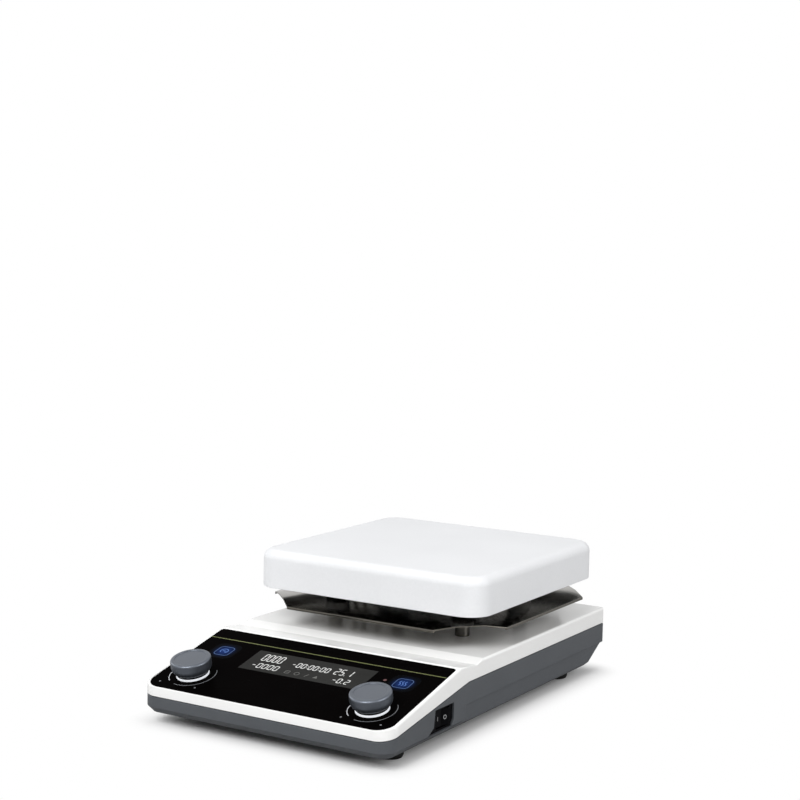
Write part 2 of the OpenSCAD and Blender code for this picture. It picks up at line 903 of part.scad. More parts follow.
module rear_panel() {
    color(tray_grey) difference() {
        translate([-rear_panel_w / 2, rear_inner, rear_panel_z])
            cube([rear_panel_w, rear_panel_t, rear_panel_top - rear_panel_z]);
        translate([inlet_x, rear_face, socket_z])
            cube([inlet_body_w + 2 * fit_gap, cut, inlet_body_h + 2 * fit_gap], center = true);
        translate([probe_x, rear_face - cut / 2, socket_z])
            rotate([-90, 0, 0]) cylinder(d = probe_d + 2 * fit_gap, h = cut);
        translate([rod_x, rear_face - cut / 2, socket_z])
            rotate([-90, 0, 0]) cylinder(d = rod_d + 2 * fit_gap, h = cut);
    }
}

// Control panel
module control_panel() {
    color(panel_black) on_slope() difference() {
        translate([0, panel_front_gap + panel_l / 2, -panel_t])
            linear_extrude(panel_t) rounded_plan(panel_w, panel_l, panel_front_r, panel_rear_r);
        translate([0, display_mid_t, -panel_t - 1])
            linear_extrude(cut)
                square([display_w + 2 * inlay_gap, display_h + 2 * inlay_gap], center = true);
        for (side = [-1, 1])
            translate([side * knob_x, knob_t, -panel_t - 1]) cylinder(d = bush_hole_d, h = cut);
    }
}

module display_window() {
    color([0.16, 0.16, 0.17]) on_slope() translate([0, display_mid_t, -panel_t])
        linear_extrude(panel_t) square([display_w, display_h], center = true);
}

module display_module() {
    color([0.25, 0.26, 0.25]) on_slope() translate([0, display_mid_t, -panel_t - display_depth])
        linear_extrude(display_depth)
            square([module_w, module_h], center = true);
}

module control_board() {
    pin_row_w = 40;
    color(board_green) on_slope() {
        difference() {
            translate([-board_w / 2, board_front_t, board_top - board_t])
                cube([board_w, board_rear_t - board_front_t, board_t]);
            each_board_screw() translate([0, 0, board_top - cut / 2]) cylinder(d = clear_d, h = cut);
        }
        translate([-pin_row_w / 2, display_mid_t - 1, board_top - eps])
            cube([pin_row_w, 2, -panel_t - display_depth - board_top + eps]);
    }
}

module ribbon_cable() {
    ribbon_x = lead_x + terminal_w / 2 + ribbon_gap + ribbon_w / 2;
    start_t = board_rear_t - 6;
    start_n = board_top - board_t;
    start_y = front_y + start_t * cos(slope_deg) - start_n * sin(slope_deg);
    start_z = front_top_z + start_t * sin(slope_deg) + start_n * cos(slope_deg);
    end_y = power_board_y - power_board_l / 2 + 8;
    run_z = power_top + 4;
    color([0.55, 0.57, 0.60]) translate([ribbon_x, 0, 0]) across(ribbon_w)
        polygon([
            [start_y, start_z],
            [start_y, run_z],
            [end_y, run_z],
            [end_y, power_top],
            [end_y + ribbon_t, power_top],
            [end_y + ribbon_t, run_z + ribbon_t],
            [start_y + ribbon_t, run_z + ribbon_t],
            [start_y + ribbon_t, start_z + ribbon_t * tan(slope_deg)],
        ]);
}

// A round cap with a straight side, bowed in to its foot below and rounded at the rim
module knob_cap() {
    side_r = knob_d / 2;
    foot_r = knob_foot_d / 2;
    bow_in = side_r - foot_r;
    bow_r = (bow_in * bow_in + knob_bow_h * knob_bow_h) / (2 * bow_in);
    rim_r = side_r - knob_edge;
    rim_z = knob_h - knob_edge;
    difference() {
        translate([0, 0, knob_bottom]) rotate_extrude() {
            square([foot_r, knob_h]);
            intersection() {
                translate([side_r - bow_r, knob_bow_h]) circle(bow_r);
                square([side_r, knob_bow_h]);
            }
            translate([0, knob_bow_h]) square([side_r, rim_z - knob_bow_h]);
            translate([0, knob_bow_h]) square([rim_r, knob_h - knob_bow_h]);
            translate([rim_r, rim_z]) circle(knob_edge);
        }
        translate([0, 0, knob_top - knob_dish]) cylinder(r = rim_r - knob_edge, h = cut);
        difference() {
            translate([0, 0, knob_bottom - 1])
                cylinder(r = foot_r - knob_wall, h = knob_h - knob_wall - knob_dish);
            cylinder(d = knob_boss_d, h = cut);
        }
        translate([0, 0, knob_bottom - 1])
            cylinder(d = shaft_d + 2 * thread_gap, h = shaft_top - knob_bottom + 1);
    }
}

module knob(side) {
    color(knob_grey) at_knob(side) knob_cap();
}

module knob_shaft(side) {
    color(steel) at_knob(side) translate([0, 0, shaft_bottom])
        cylinder(d = shaft_d, h = shaft_top - shaft_bottom);
}

module push_plunger(side) {
    color([0.80, 0.62, 0.30]) at_knob(side)
        translate([0, 0, plunger_bottom]) cylinder(d = plunger_d, h = plunger_h);
}

module encoder(side) {
    color([0.20, 0.22, 0.24]) at_knob(side) difference() {
        union() {
            translate([-encoder_side / 2, -encoder_side / 2, board_top])
                cube([encoder_side, encoder_side, encoder_h]);
            translate([0, 0, encoder_top - eps]) cylinder(d = bush_d, h = bush_top - encoder_top + eps);
        }
        translate([0, 0, board_top + encoder_floor]) cylinder(d = shaft_d + 2 * run_gap, h = cut);
    }
}

module light_ring(side) {
    color([0.97, 0.98, 1.0]) at_knob(side) tube(ring_d, ring_d - 2 * ring_w, ring_h);
}

// Power switch
module switch_outline(grow) {
    end = switch_l / 2 + grow;
    top = switch_h / 2 + grow;
    polygon([
        [switch_lean - end, top],
        [end, top],
        [end, switch_cut_h - top],
        [end - switch_cut_l, -top],
        [-end - switch_tail - 3 * grow, -top],
        [-end, switch_tail_h - switch_h / 2],
    ]);
}

module switch_frame() {
    color(rubber_black) at_switch() difference() {
        union() {
            translate([-switch_pocket, 0, 0]) rotate([90, 0, 90])
                linear_extrude(switch_t) switch_outline(0);
            translate([-switch_pocket - frame_depth, -frame_l / 2, -frame_h / 2])
                cube([frame_depth + eps, frame_l, frame_h]);
            for (y = [-1, 1])
                translate([
                    -switch_pocket - frame_depth - blade_l,
                    y * frame_l / 4 - blade_w / 2,
                    -blade_t / 2
                ])
                    cube([blade_l + eps, blade_w, blade_t]);
        }
        translate([-switch_pocket - frame_depth + frame_back, -window_l / 2, -frame_h / 2 + frame_wall])
            cube([cut, window_l, frame_h - 2 * frame_wall]);
        translate([-rocker_pivot, 0, -frame_h]) cylinder(d = pivot_d + 2 * run_gap, h = 2 * frame_h);
    }
}

module switch_rocker() {
    shoulder = rocker_pivot - rocker_rise;
    half = rocker_l / 2;
    foot = half * 0.4;
    color(rubber_black) at_switch() translate([-rocker_pivot, 0, 0]) rotate([0, 0, -rocker_tilt])
        translate([rocker_pivot, 0, 0]) {
            translate([0, 0, -rocker_h / 2]) linear_extrude(rocker_h)
                polygon([
                    [rocker_rise - rocker_face, -half],
                    [-rocker_face, 0],
                    [rocker_rise - rocker_face, half],
                    [-shoulder, half],
                    [-rocker_back, foot],
                    [-rocker_back, -foot],
                    [-shoulder, -half],
                ]);
            translate([-rocker_pivot, 0, pivot_end - frame_h / 2])
                cylinder(d = pivot_d, h = frame_h - 2 * pivot_end);
        }
}

// Mains side
module power_inlet() {
    color(rubber_black) translate([inlet_x, 0, socket_z]) difference() {
        union() {
            translate([-inlet_flange_w / 2, rear_face, -inlet_flange_h / 2])
                cube([inlet_flange_w, flange_t, inlet_flange_h]);
            translate([-inlet_body_w / 2, inlet_back_y, -inlet_body_h / 2])
                cube([inlet_body_w, rear_face - inlet_back_y + eps, inlet_body_h]);
        }
        translate([-inlet_w / 2, inlet_floor_y, -inlet_h / 2]) cube([inlet_w, cut + inlet_depth, inlet_h]);
        pin_set(fit_gap);
    }
}

// Two outer blades and a raised middle one
module pin_set(grow) {
    tip_y = rear_face + flange_t - pin_recess;
    tail_y = inlet_back_y - tag_l;
    for (i = [-1, 0, 1])
        translate([
            i * pin_pitch / 2 - pin_w / 2 - grow,
            tail_y - grow,
            (i == 0 ? pin_rise : -pin_rise) - pin_h / 2 - grow
        ])
            cube([pin_w + 2 * grow, tip_y - tail_y + 2 * grow, pin_h + 2 * grow]);
}

module inlet_pins() {
    color([0.80, 0.76, 0.60]) translate([inlet_x, 0, socket_z]) pin_set(0);
}

module inlet_cable() {
    run_x = inlet_x + mains_run;
    start_y = inlet_back_y - tag_l - mains_d / 2;
    switch_back = side_x - switch_pocket - frame_depth - blade_l;
    blade_y = switch_y + frame_l / 4;
    color([0.85, 0.85, 0.84]) wire([
        [inlet_x, start_y, socket_z],
        [run_x, start_y, socket_z],
        [run_x, start_y, switch_z],
        [run_x, blade_y, switch_z],
        [switch_back, blade_y, switch_z],
    ], mains_d);
}

module switch_cable() {
    turn_x = side_x - switch_pocket - frame_depth - blade_l - cable_turn;
    cross_y = switch_y + cable_cross;
    switch_back = side_x - switch_pocket - frame_depth - blade_l;
    blade_y = switch_y - frame_l / 4;
    end_x = power_board_left + cable_end;
    end_y = power_board_y - power_board_l / 2 + cable_lap;
    run_z = power_top + cable_d / 2;
    color([0.85, 0.85, 0.84]) wire([
        [switch_back, blade_y, switch_z],
        [turn_x, blade_y, switch_z],
        [turn_x, blade_y, run_z - cable_drop],
        [turn_x, cross_y, run_z - cable_drop],
        [end_x, cross_y, run_z - cable_drop],
        [end_x, cross_y, run_z],
        [end_x, end_y, run_z],
    ], cable_d);
}

module power_board() {
    color(board_green) difference() {
        translate([power_board_x - power_board_w / 2, power_board_y - power_board_l / 2, power_board_z])
            cube([power_board_w, power_board_l, board_t]);
        each_power_screw() translate([0, 0, power_board_z - 1]) cylinder(d = clear_d, h = board_t + 2);
    }
}

module transformer() {
    core_x = power_board_x + power_screw_x - head_d / 2 - core_screw_gap - core_w;
    core_y = plate_y + heater_lead_off + terminal_end + part_gap;
    color([0.62, 0.50, 0.28]) translate([core_x, core_y, power_top]) {
        cube([core_w, core_l, core_h]);
        translate([coil_in, coil_in, core_h - eps])
            cube([core_w - 2 * coil_in, core_l - 2 * coil_in, coil_h]);
    }
}

module heat_sink() {
    color([0.70, 0.71, 0.72]) translate([power_board_left + sink_edge, power_board_y, power_top]) {
        translate([0, -sink_l / 2, 0]) cube([sink_t, sink_l, sink_h]);
        for (i = [0 : fins - 1])
            translate([sink_t - eps, (i - (fins - 1) / 2) * fin_pitch - fin_t / 2, 0])
                cube([fin_w, fin_t, sink_h]);
    }
}

module terminal_block() {
    color([0.12, 0.35, 0.22]) translate([lead_x - terminal_w / 2, plate_y, power_top]) {
        translate([0, -heater_lead_off - terminal_end, 0])
            cube([terminal_w, 2 * heater_lead_off + 2 * terminal_end, terminal_h]);
        translate([0, sensor_off - sensor_terminal_l / 2, 0])
            cube([sensor_terminal_w, sensor_terminal_l, terminal_h]);
        translate([0, cutout_off - cutout_terminal_l / 2, 0])
            cube([terminal_w, cutout_terminal_l, terminal_h]);
    }
}

module board_screws() {
    color(steel) {
        on_slope() each_board_screw()
            translate([0, 0, board_top - board_t])
                screw_up(screw_d, head_d, head_h, board_t + screw_bite - 1);
        each_power_screw() translate([0, 0, power_top])
            screw_down(screw_d, head_d, head_h, board_t + screw_bite - 2);
    }
}

// Drive
module motor_body() {
    ring_t = 3;
    color([0.50, 0.51, 0.53]) at_plate() difference() {
        union() {
            translate([0, 0, motor_z]) cylinder(d = motor_d - 2 * ring_t, h = ring_t + eps);
            translate([0, 0, motor_z + ring_t]) cylinder(d = motor_d, h = motor_h - ring_t);
            translate([0, 0, bracket_z - eps]) cylinder(d = motor_boss_d, h = bracket_t);
        }
        translate([0, 0, motor_z + shaft_seat - run_gap])
            cylinder(d = motor_shaft_d + 2 * run_gap, h = motor_h + cut);
        for (a = [45 : 90 : 315])
            rotate([0, 0, a]) translate([motor_screw_off, 0, bracket_z - screw_bite])
                cylinder(d = pilot_d, h = cut);
    }
}

module motor_bracket() {
    color(steel) difference() {
        at_plate() translate([-bracket_side / 2, -bracket_side / 2, bracket_z])
            cube([bracket_side, bracket_side, bracket_t]);
        at_plate() translate([0, 0, bracket_z - 1]) cylinder(d = motor_boss_d + screw_gap, h = cut);
        at_plate() for (a = [45 : 90 : 315])
            rotate([0, 0, a]) translate([motor_screw_off, 0, bracket_z - 1]) cylinder(d = clear_d, h = cut);
        each_bracket_screw() translate([0, 0, bracket_z - 1]) cylinder(d = clear_d, h = cut);
    }
}

module motor_screws() {
    color(steel) translate([0, 0, bracket_top]) {
        each_bracket_screw() screw_down(screw_d, head_d, head_h, bracket_t + screw_bite);
        at_plate() for (a = [45 : 90 : 315])
            rotate([0, 0, a]) translate([motor_screw_off, 0, 0])
                screw_down(screw_d, head_d, head_h, bracket_t + motor_bite);
    }
}

module motor_cable() {
    cable_z = motor_z + motor_h / 2;
    board_edge = power_board_right;
    color([0.15, 0.15, 0.16]) difference() {
        wire([
            [-motor_d / 2 + 1, plate_y, cable_z],
            [board_edge - 3, plate_y, cable_z],
            [board_edge - 3, plate_y, power_top],
        ], cable_d);
        at_plate() cylinder(d = motor_d + 2 * fit_gap, h = deck_z);
    }
}

module motor_shaft() {
    color(steel) at_plate() translate([0, 0, motor_z + shaft_seat])
        cylinder(d = motor_shaft_d, h = hub_top - motor_z - shaft_seat);
}

module rotor_yoke() {
    color([0.58, 0.59, 0.60]) at_plate() difference() {
        union() {
            translate([0, 0, yoke_z]) cylinder(d = yoke_d, h = yoke_t);
            translate([0, 0, magnet_z - eps]) cylinder(d = hub_d, h = hub_h + eps);
        }
        translate([0, 0, yoke_z - 1]) cylinder(d = motor_shaft_d + thread_gap, h = cut);
        for (x = [-1, 1])
            translate([x * magnet_off, 0, magnet_z - magnet_seat])
                cylinder(d = magnet_d + screw_gap, h = cut);
        translate([0, 0, magnet_z + hub_h / 2]) rotate([-90, 0, 0]) cylinder(d = pilot_d, h = hub_d);
    }
}

module magnet(side) {
    color([0.30, 0.31, 0.33]) at_plate()
        translate([side * magnet_off, 0, magnet_z - magnet_seat])
            cylinder(d = magnet_d, h = magnet_h + magnet_seat);
}

module yoke_screw() {
    start = motor_shaft_d / 2 + thread_gap;
    color(steel) at_plate() translate([0, start, magnet_z + hub_h / 2])
        rotate([-90, 0, 0]) cylinder(d = screw_d, h = hub_d / 2 - start - grub_in);
}

// Hot plate
module plate_profile(r) {
    square([r, plate_h - plate_edge_r]);
    square([r - plate_edge_r, plate_h]);
    translate([r - plate_edge_r, plate_h - plate_edge_r]) circle(plate_edge_r);
}

module plate_block() {
    half = plate_side / 2;
    flat = half - plate_corner_r;
    for (x = [-1, 1], y = [-1, 1])
        translate([x * flat, y * flat, 0]) rotate_extrude() plate_profile(plate_corner_r);
    for (a = [0, 90])
        rotate([0, 0, a]) translate([0, flat, 0]) rotate([90, 0, 0]) linear_extrude(2 * flat) {
            translate([-half, 0]) square([plate_side, plate_h - plate_edge_r]);
            translate([-half + plate_edge_r, 0]) square([plate_side - 2 * plate_edge_r, plate_h]);
            for (x = [-1, 1])
                translate([x * (half - plate_edge_r), plate_h - plate_edge_r]) circle(plate_edge_r);
        }
}

module hot_plate() {
    inner = plate_side - 2 * plate_wall;
    inner_r = plate_corner_r - plate_wall;
    color(white_coat) difference() {
        at_plate() translate([0, 0, plate_z]) plate_block();
        difference() {
            at_plate() translate([0, 0, plate_z - 1])
                linear_extrude(ceiling_z - plate_z + 1) rounded_plan(inner, inner, inner_r, inner_r);
            each_post() cylinder(d = plate_boss_d, h = plate_top);
        }
        each_post() translate([0, 0, plate_z - 1]) cylinder(d = tie_d + thread_gap, h = tie_bite + 2);
        each_press_screw() translate([0, 0, ceiling_z - 1]) cylinder(d = pilot_d, h = press_bite + 2);
        translate([lead_x, plate_y + sensor_off, ceiling_z - 1])
            cylinder(d = sensor_d + 2 * fit_gap, h = sensor_h - heater_t - pad_t - press_t - 2);
    }
}

// Square sheet of the heating stack, cut clear of the plate's bosses
module stack_sheet(z, t, lead_hole_d) {
    difference() {
        at_plate() translate([0, 0, z]) linear_extrude(t)
            rounded_plan(stack_side, stack_side, stack_corner_r, stack_corner_r);
        each_post() translate([0, 0, z - 1]) cylinder(d = plate_boss_d + 2 * plate_boss_gap, h = t + 2);
        each_press_screw() translate([0, 0, z - 1]) cylinder(d = clear_d, h = t + 2);
        translate([lead_x, plate_y + sensor_off, z - 1]) cylinder(d = sensor_d + 2 * fit_gap, h = t + 2);
        if (lead_hole_d > 0)
            for (y = [-1, 1])
                translate([lead_x, plate_y + y * heater_lead_off, z - 1])
                    cylinder(d = lead_hole_d, h = t + 2);
    }
}

module heater_element() {
    color([0.60, 0.55, 0.42]) stack_sheet(heater_z, heater_t, 0);
}

module insulation_pad() {
    color([0.90, 0.88, 0.82]) stack_sheet(pad_z, pad_t, lead_d + 2 * fit_gap);
}

module press_plate() {
    color(steel) stack_sheet(press_z, press_t, lead_d + 2 * fit_gap);
}

module press_screws() {
    l = ceiling_z - press_z + press_bite;
    color(steel) each_press_screw() translate([0, 0, press_z]) screw_up(screw_d, head_d, head_h, l);
}

module plate_sensor() {
    sensor_z = press_z - sensor_drop;
    color(steel) translate([lead_x, plate_y + sensor_off, sensor_z]) cylinder(d = sensor_d, h = sensor_h);
}

module thermal_cutout() {
    color([0.20, 0.18, 0.16]) translate([lead_x, plate_y + cutout_off, press_z - cutout_h])
        cylinder(d = cutout_d, h = cutout_h);
}

module plate_leads() {
    start = power_top + terminal_h;
    sensor_z = press_z - sensor_drop;
    cutout_z = press_z - cutout_h;
    cutout_lead_off = 2.2;
    color([0.92, 0.90, 0.84]) translate([lead_x, plate_y, start]) {
        for (y = [-1, 1]) {
            translate([0, y * heater_lead_off, 0]) cylinder(d = lead_d, h = heater_z - start);
            translate([0, cutout_off + y * cutout_lead_off, 0]) cylinder(d = lead_d, h = cutout_z - start);
        }
        translate([0, sensor_off, 0]) cylinder(d = lead_d, h = sensor_z - start);
    }
}

// A roof with two sloped sides, seen along X; the shield's outside and inside are crossed roofs
module shield_roof(rim, drop, low) {
    across(2 * shield_cut)
        polygon([
            [-rim, low],
            [-rim, -drop],
            [-shield_flat, 0],
            [shield_flat, 0],
            [rim, -drop],
            [rim, low],
        ]);
}

module crossed_roofs(rim, drop, low) {
    intersection() {
        shield_roof(rim, drop, low);
        rotate([0, 0, 90]) shield_roof(rim, drop, low);
    }
}

// Polished sheet with four sloped lips, a turned-down hem and cut-off corners
module heat_shield() {
    run = shield_rim - shield_flat;
    inner_rim = shield_rim - shield_t;
    inner_drop = shield_drop * (inner_rim - shield_flat) / run;
    low = -shield_drop - hem_h;
    hole_h = 3 * shield_t;
    hole_z = shield_top - 2 * shield_t;
    color([0.78, 0.78, 0.77]) difference() {
        at_plate() translate([0, 0, shield_top]) intersection() {
            difference() {
                crossed_roofs(shield_rim, shield_drop, low);
                translate([0, 0, -shield_t]) crossed_roofs(inner_rim, inner_drop, low);
            }
            rotate([0, 0, 45]) cube([sqrt(2) * shield_cut, sqrt(2) * shield_cut, cut], center = true);
        }
        each_post() translate([0, 0, hole_z]) cylinder(d = tie_hole_d, h = hole_h);
        at_plate() translate([0, 0, hole_z]) cylinder(d = shield_hole_d, h = hole_h);
        intersection() {
            lead_holes(lead_d + lead_gap);
            translate([-body_w, -body_l, hole_z]) cube([2 * body_w, 2 * body_l, hole_h]);
        }
    }
}

module post(x, y) {
    color(steel) translate([x * post_x, plate_y + y * post_y, deck_z]) tube(post_d, tie_hole_d, post_h);
}

module ceramic_spacers() {
    color(ceramic_dark) each_post() translate([0, 0, shield_top]) tube(spacer_d, tie_hole_d, spacer_h);
}

module tie_screws() {
    l = plate_z + tie_bite - deck_under;
    color(steel) each_post() translate([0, 0, deck_under]) screw_up(tie_d, tie_head_d, tie_head_h, l);
}

// Rear sockets: a flange outside the panel and a barrel inside it
module round_socket(x, flange_d, barrel_d, bore_d, depth) {
    back = 3;
    translate([x, rear_face + flange_t, socket_z]) rotate([90, 0, 0]) difference() {
        union() {
            cylinder(d = flange_d, h = flange_t);
            cylinder(d = barrel_d, h = depth + back);
        }
        translate([0, 0, -1]) cylinder(d = bore_d, h = depth + 1);
    }
}

module probe_socket() {
    color(rubber_black) round_socket(probe_x, probe_flange_d, probe_d, probe_bore, probe_depth);
}

module rod_socket() {
    color(steel) round_socket(rod_x, rod_flange_d, rod_d, rod_bore, rod_depth);
}

// Feet and the screws under the case
module foot(x, y) {
    color(rubber_black) translate([x * foot_x, y, 0]) difference() {
        union() {
            cylinder(d1 = foot_d - foot_soft, d2 = foot_d, h = foot_soft_h);
            translate([0, 0, foot_soft_h - eps]) cylinder(d = foot_d, h = base_z - foot_soft_h + eps);
        }
        translate([0, 0, -1]) cylinder(d = head_hole_d, h = foot_head_z + head_h + 1);
        translate([0, 0, -1]) cylinder(d = clear_d, h = cut);
    }
}

module fixing_screws() {
    color(steel) {
        each_foot() translate([0, 0, foot_head_z + head_h])
            screw_up(screw_d, head_d, head_h, base_z + floor_t - foot_head_z - head_h + foot_boss_h - 2);
        each_case_screw() translate([0, 0, case_head_z + head_h])
            screw_up(screw_d, head_d, head_h, case_joint_z - case_head_z - head_h + case_bite);
    }
}

base_tray();
top_cover();
rear_panel();
control_panel();
display_window();
display_module();
control_board();
ribbon_cable();
knob(-1);  // stir_knob
knob_shaft(-1);  // stir_shaft
push_plunger(-1);  // stir_plunger
encoder(-1);  // stir_encoder
light_ring(-1);  // stir_light_ring
knob(1);  // heat_knob
knob_shaft(1);  // heat_shaft
push_plunger(1);  // heat_plunger
encoder(1);  // heat_encoder
light_ring(1);  // heat_light_ring
switch_frame();
switch_rocker();
power_inlet();
inlet_pins();
inlet_cable();
switch_cable();
power_board();
transformer();
heat_sink();
terminal_block();
board_screws();
motor_body();
motor_bracket();
motor_screws();
motor_cable();
motor_shaft();
rotor_yoke();
magnet(-1);  // magnet_left
magnet(1);  // magnet_right
yoke_screw();
hot_plate();
heater_element();
insulation_pad();
press_plate();
press_screws();
plate_sensor();
thermal_cutout();
plate_leads();
heat_shield();
post(-1, -1);  // post_front_left
post(1, -1);  // post_front_right
post(-1, 1);  // post_rear_left
post(1, 1);  // post_rear_right
ceramic_spacers();
tie_screws();
probe_socket();
rod_socket();
foot(-1, foot_front_y);  // foot_front_left
foot(1, foot_front_y);  // foot_front_right
foot(-1, foot_rear_y);  // foot_rear_left
foot(1, foot_rear_y);  // foot_rear_right
fixing_screws();
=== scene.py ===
"""Dresses the solids of a heated magnetic stirrer with finishes, print, marks and studio light.

Everything is in metres in the frame of the solids: +X right, +Y to the rear, +Z up, origin on the table.
Sizes that belong to the looks alone are dataclass fields in millimetres. Places come from the solids.
"""
import json
import logging
import math
from dataclasses import dataclass, field
from enum import Enum
from functools import partial
from typing import Iterable, Sequence

import bmesh
import bpy
from bmesh.types import BMesh
from bpy.types import Material, Mesh, Node, NodeSocket, NodeTree, Object
from mathutils import Color, Euler, Matrix, Vector
from mathutils.bvhtree import BVHTree


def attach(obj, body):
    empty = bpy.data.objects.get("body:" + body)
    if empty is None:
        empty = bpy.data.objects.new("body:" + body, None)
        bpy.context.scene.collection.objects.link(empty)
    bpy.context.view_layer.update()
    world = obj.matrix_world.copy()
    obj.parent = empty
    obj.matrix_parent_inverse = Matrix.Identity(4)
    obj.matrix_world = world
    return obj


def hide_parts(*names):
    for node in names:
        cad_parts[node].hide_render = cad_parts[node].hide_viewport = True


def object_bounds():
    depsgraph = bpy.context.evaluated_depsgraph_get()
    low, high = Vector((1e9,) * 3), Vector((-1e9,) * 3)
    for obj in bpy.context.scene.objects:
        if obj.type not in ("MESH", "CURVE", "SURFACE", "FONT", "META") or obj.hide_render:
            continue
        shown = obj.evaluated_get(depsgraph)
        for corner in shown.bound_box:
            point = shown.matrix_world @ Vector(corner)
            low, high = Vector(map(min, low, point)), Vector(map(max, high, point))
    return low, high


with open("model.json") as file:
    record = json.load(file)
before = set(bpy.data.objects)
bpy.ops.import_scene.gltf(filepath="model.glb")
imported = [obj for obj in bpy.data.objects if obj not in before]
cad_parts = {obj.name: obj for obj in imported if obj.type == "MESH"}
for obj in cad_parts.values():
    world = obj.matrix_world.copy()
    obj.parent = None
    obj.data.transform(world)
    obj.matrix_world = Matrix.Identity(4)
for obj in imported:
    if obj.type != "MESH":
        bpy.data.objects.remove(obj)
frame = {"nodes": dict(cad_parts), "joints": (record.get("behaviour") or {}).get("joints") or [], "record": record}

LOG = logging.getLogger("stirrer")
MM = 0.001
CAD_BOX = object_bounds()

# Degrees over which an edge shades crisp and over which it is rounded, and the faces across the rounding
CREASE_DEG, ROUND_DEG, ROUND_STEPS = 12.5, 40.0, 2
# Millimetres: points this close are one, faces this thin go, and the lower and upper face of print
WELD, SLIVER, PRINT_LOW, PRINT_HIGH = 0.03, 0.003, -0.02, 0.04
# Cosine at which a line's corner stops drawing out, spans of a round corner, faces around a turned ring
MITRE_MIN, CORNER_STEPS, TURN_STEPS = 0.5, 6, 96
# Sockets of a Mix node for colours
MIX_A, MIX_B, MIX_OUT = 6, 7, 2

Colour = tuple[float, float, float, float]
Tone = tuple[int, int, int]
Point = tuple[float, float]
Span = tuple[float, float]
Spot = tuple[float, float, float]
Inputs = dict[str | int, object]


def tone(red: int, green: int, blue: int) -> Colour:
    """Turns an sRGB tone with channels from 0 to 255 into a linear colour with full alpha."""
    return (*Color([channel / 255 for channel in (red, green, blue)]).from_srgb_to_scene_linear(), 1.0)


class Graph:
    """Adds and joins the nodes of one tree."""

    def __init__(self, tree: NodeTree) -> None:
        """Keeps the tree that the nodes go to."""
        self.tree = tree

    def add(self, kind: str, inputs: Inputs | None = None, **settings: object) -> Node:
        """Adds a node.

        Args:
            kind: Blender's name of the node's type.
            inputs: Values or outputs for its inputs, by name or index.
            **settings: Properties of the node, by name.

        Returns:
            The new node.
        """
        node = self.tree.nodes.new(kind)
        for name, value in settings.items():
            setattr(node, name, value)
        self.feed(node, inputs or {})
        return node

    def feed(self, node: Node, inputs: Inputs) -> None:
        """Sets or joins a node's inputs.

        Args:
            node: The node.
            inputs: Values or outputs for its inputs, by name or index.
        """
        for key, value in inputs.items():
            if isinstance(value, NodeSocket):
                self.tree.links.new(value, node.inputs[key])
            else:
                node.inputs[key].default_value = value

    def math(self, operation: str, *values: object) -> NodeSocket:
        """Adds a Math node with numbers or outputs for its inputs, and gives its output."""
        return self.add("ShaderNodeMath", dict(enumerate(values)), operation=operation).outputs[0]


class GroupGraph(Graph):
    """The graph of a new node group with named sockets."""

    def __init__(self, name: str, kind: str, inputs: dict[str, str], outputs: dict[str, str]) -> None:
        """Makes the group.

        Args:
            name: Name of the group.
            kind: Blender's name of the tree's type.
            inputs: Kinds of the input sockets, by name.
            outputs: Kinds of the output sockets, by name.
        """
        super().__init__(bpy.data.node_groups.new(name, kind))
        for in_out, sockets in (("INPUT", inputs), ("OUTPUT", outputs)):
            for socket, data in sockets.items():
                self.tree.interface.new_socket(socket, in_out=in_out, socket_type="NodeSocket" + data)
        self.start = self.add("NodeGroupInput").outputs
        self.end = self.add("NodeGroupOutput")


class Effect(Enum):
    """Surface effects that several finishes share, each a shader node group."""

    GRAIN = "Moulded_grain"
    BRUSHED = "Brushed_lines"
    SMUDGE = "Handling_smudges"

    def group(self) -> NodeTree:
        """Gives the effect's node group, which is built on first use."""
        return bpy.data.node_groups.get(self.value) or EFFECT_BUILDERS[self](self.value)


# Noise of the surface effects: detail, share of the grain against the clouds, ranges used, swirl and stretch
GRAIN_DETAIL, CLOUD_DETAIL, SMUDGE_DETAIL = 3, 2, 4
GRAIN_SHARE = 0.4
TONE_RANGE = (0.3, 0.7)
SMUDGE_RANGE = (0.5, 0.75)
SMUDGE_SWIRL = 1.2
EVEN, ALONG_X = Vector((1, 1, 1)), Vector((0.02, 1, 1))


def build_surface(name: str, stretch: Vector) -> NodeTree:
    """Builds a group with a fine grain over slow clouds of tone.

    Args:
        name: Name of the group.
        stretch: Factors on the object's coordinates, which draw the grain out along an axis.

    Returns:
        The node group.
    """
    graph = GroupGraph(
        name, "ShaderNodeTree",
        {"Dark": "Color", "Light": "Color", "Rough low": "Float", "Rough high": "Float",
         "Grain scale": "Float", "Cloud scale": "Float"},
        {"Colour": "Color", "Roughness": "Float", "Height": "Float"})
    start = graph.start
    place = graph.add("ShaderNodeTexCoord").outputs["Object"]
    drawn = graph.add("ShaderNodeMapping", {"Vector": place, "Scale": stretch}).outputs[0]
    grain = graph.add("ShaderNodeTexNoise", {
        "Vector": drawn, "Scale": start["Grain scale"], "Detail": GRAIN_DETAIL}).outputs[0]
    cloud = graph.add("ShaderNodeTexNoise", {
        "Vector": place, "Scale": start["Cloud scale"], "Detail": CLOUD_DETAIL}).outputs[0]
    share = graph.math("MULTIPLY_ADD", grain, GRAIN_SHARE, graph.math("MULTIPLY", cloud, 1 - GRAIN_SHARE))
    spread = graph.add("ShaderNodeMapRange", {
        "Value": share, "From Min": TONE_RANGE[0], "From Max": TONE_RANGE[1]}).outputs[0]
    mix = graph.add("ShaderNodeMix", {
        "Factor": spread, MIX_A: start["Dark"], MIX_B: start["Light"]}, data_type="RGBA")
    rough = graph.add("ShaderNodeMapRange", {
        "Value": spread, "To Min": start["Rough low"], "To Max": start["Rough high"]})
    graph.feed(graph.end, {"Colour": mix.outputs[MIX_OUT], "Roughness": rough.outputs[0], "Height": grain})
    return graph.tree


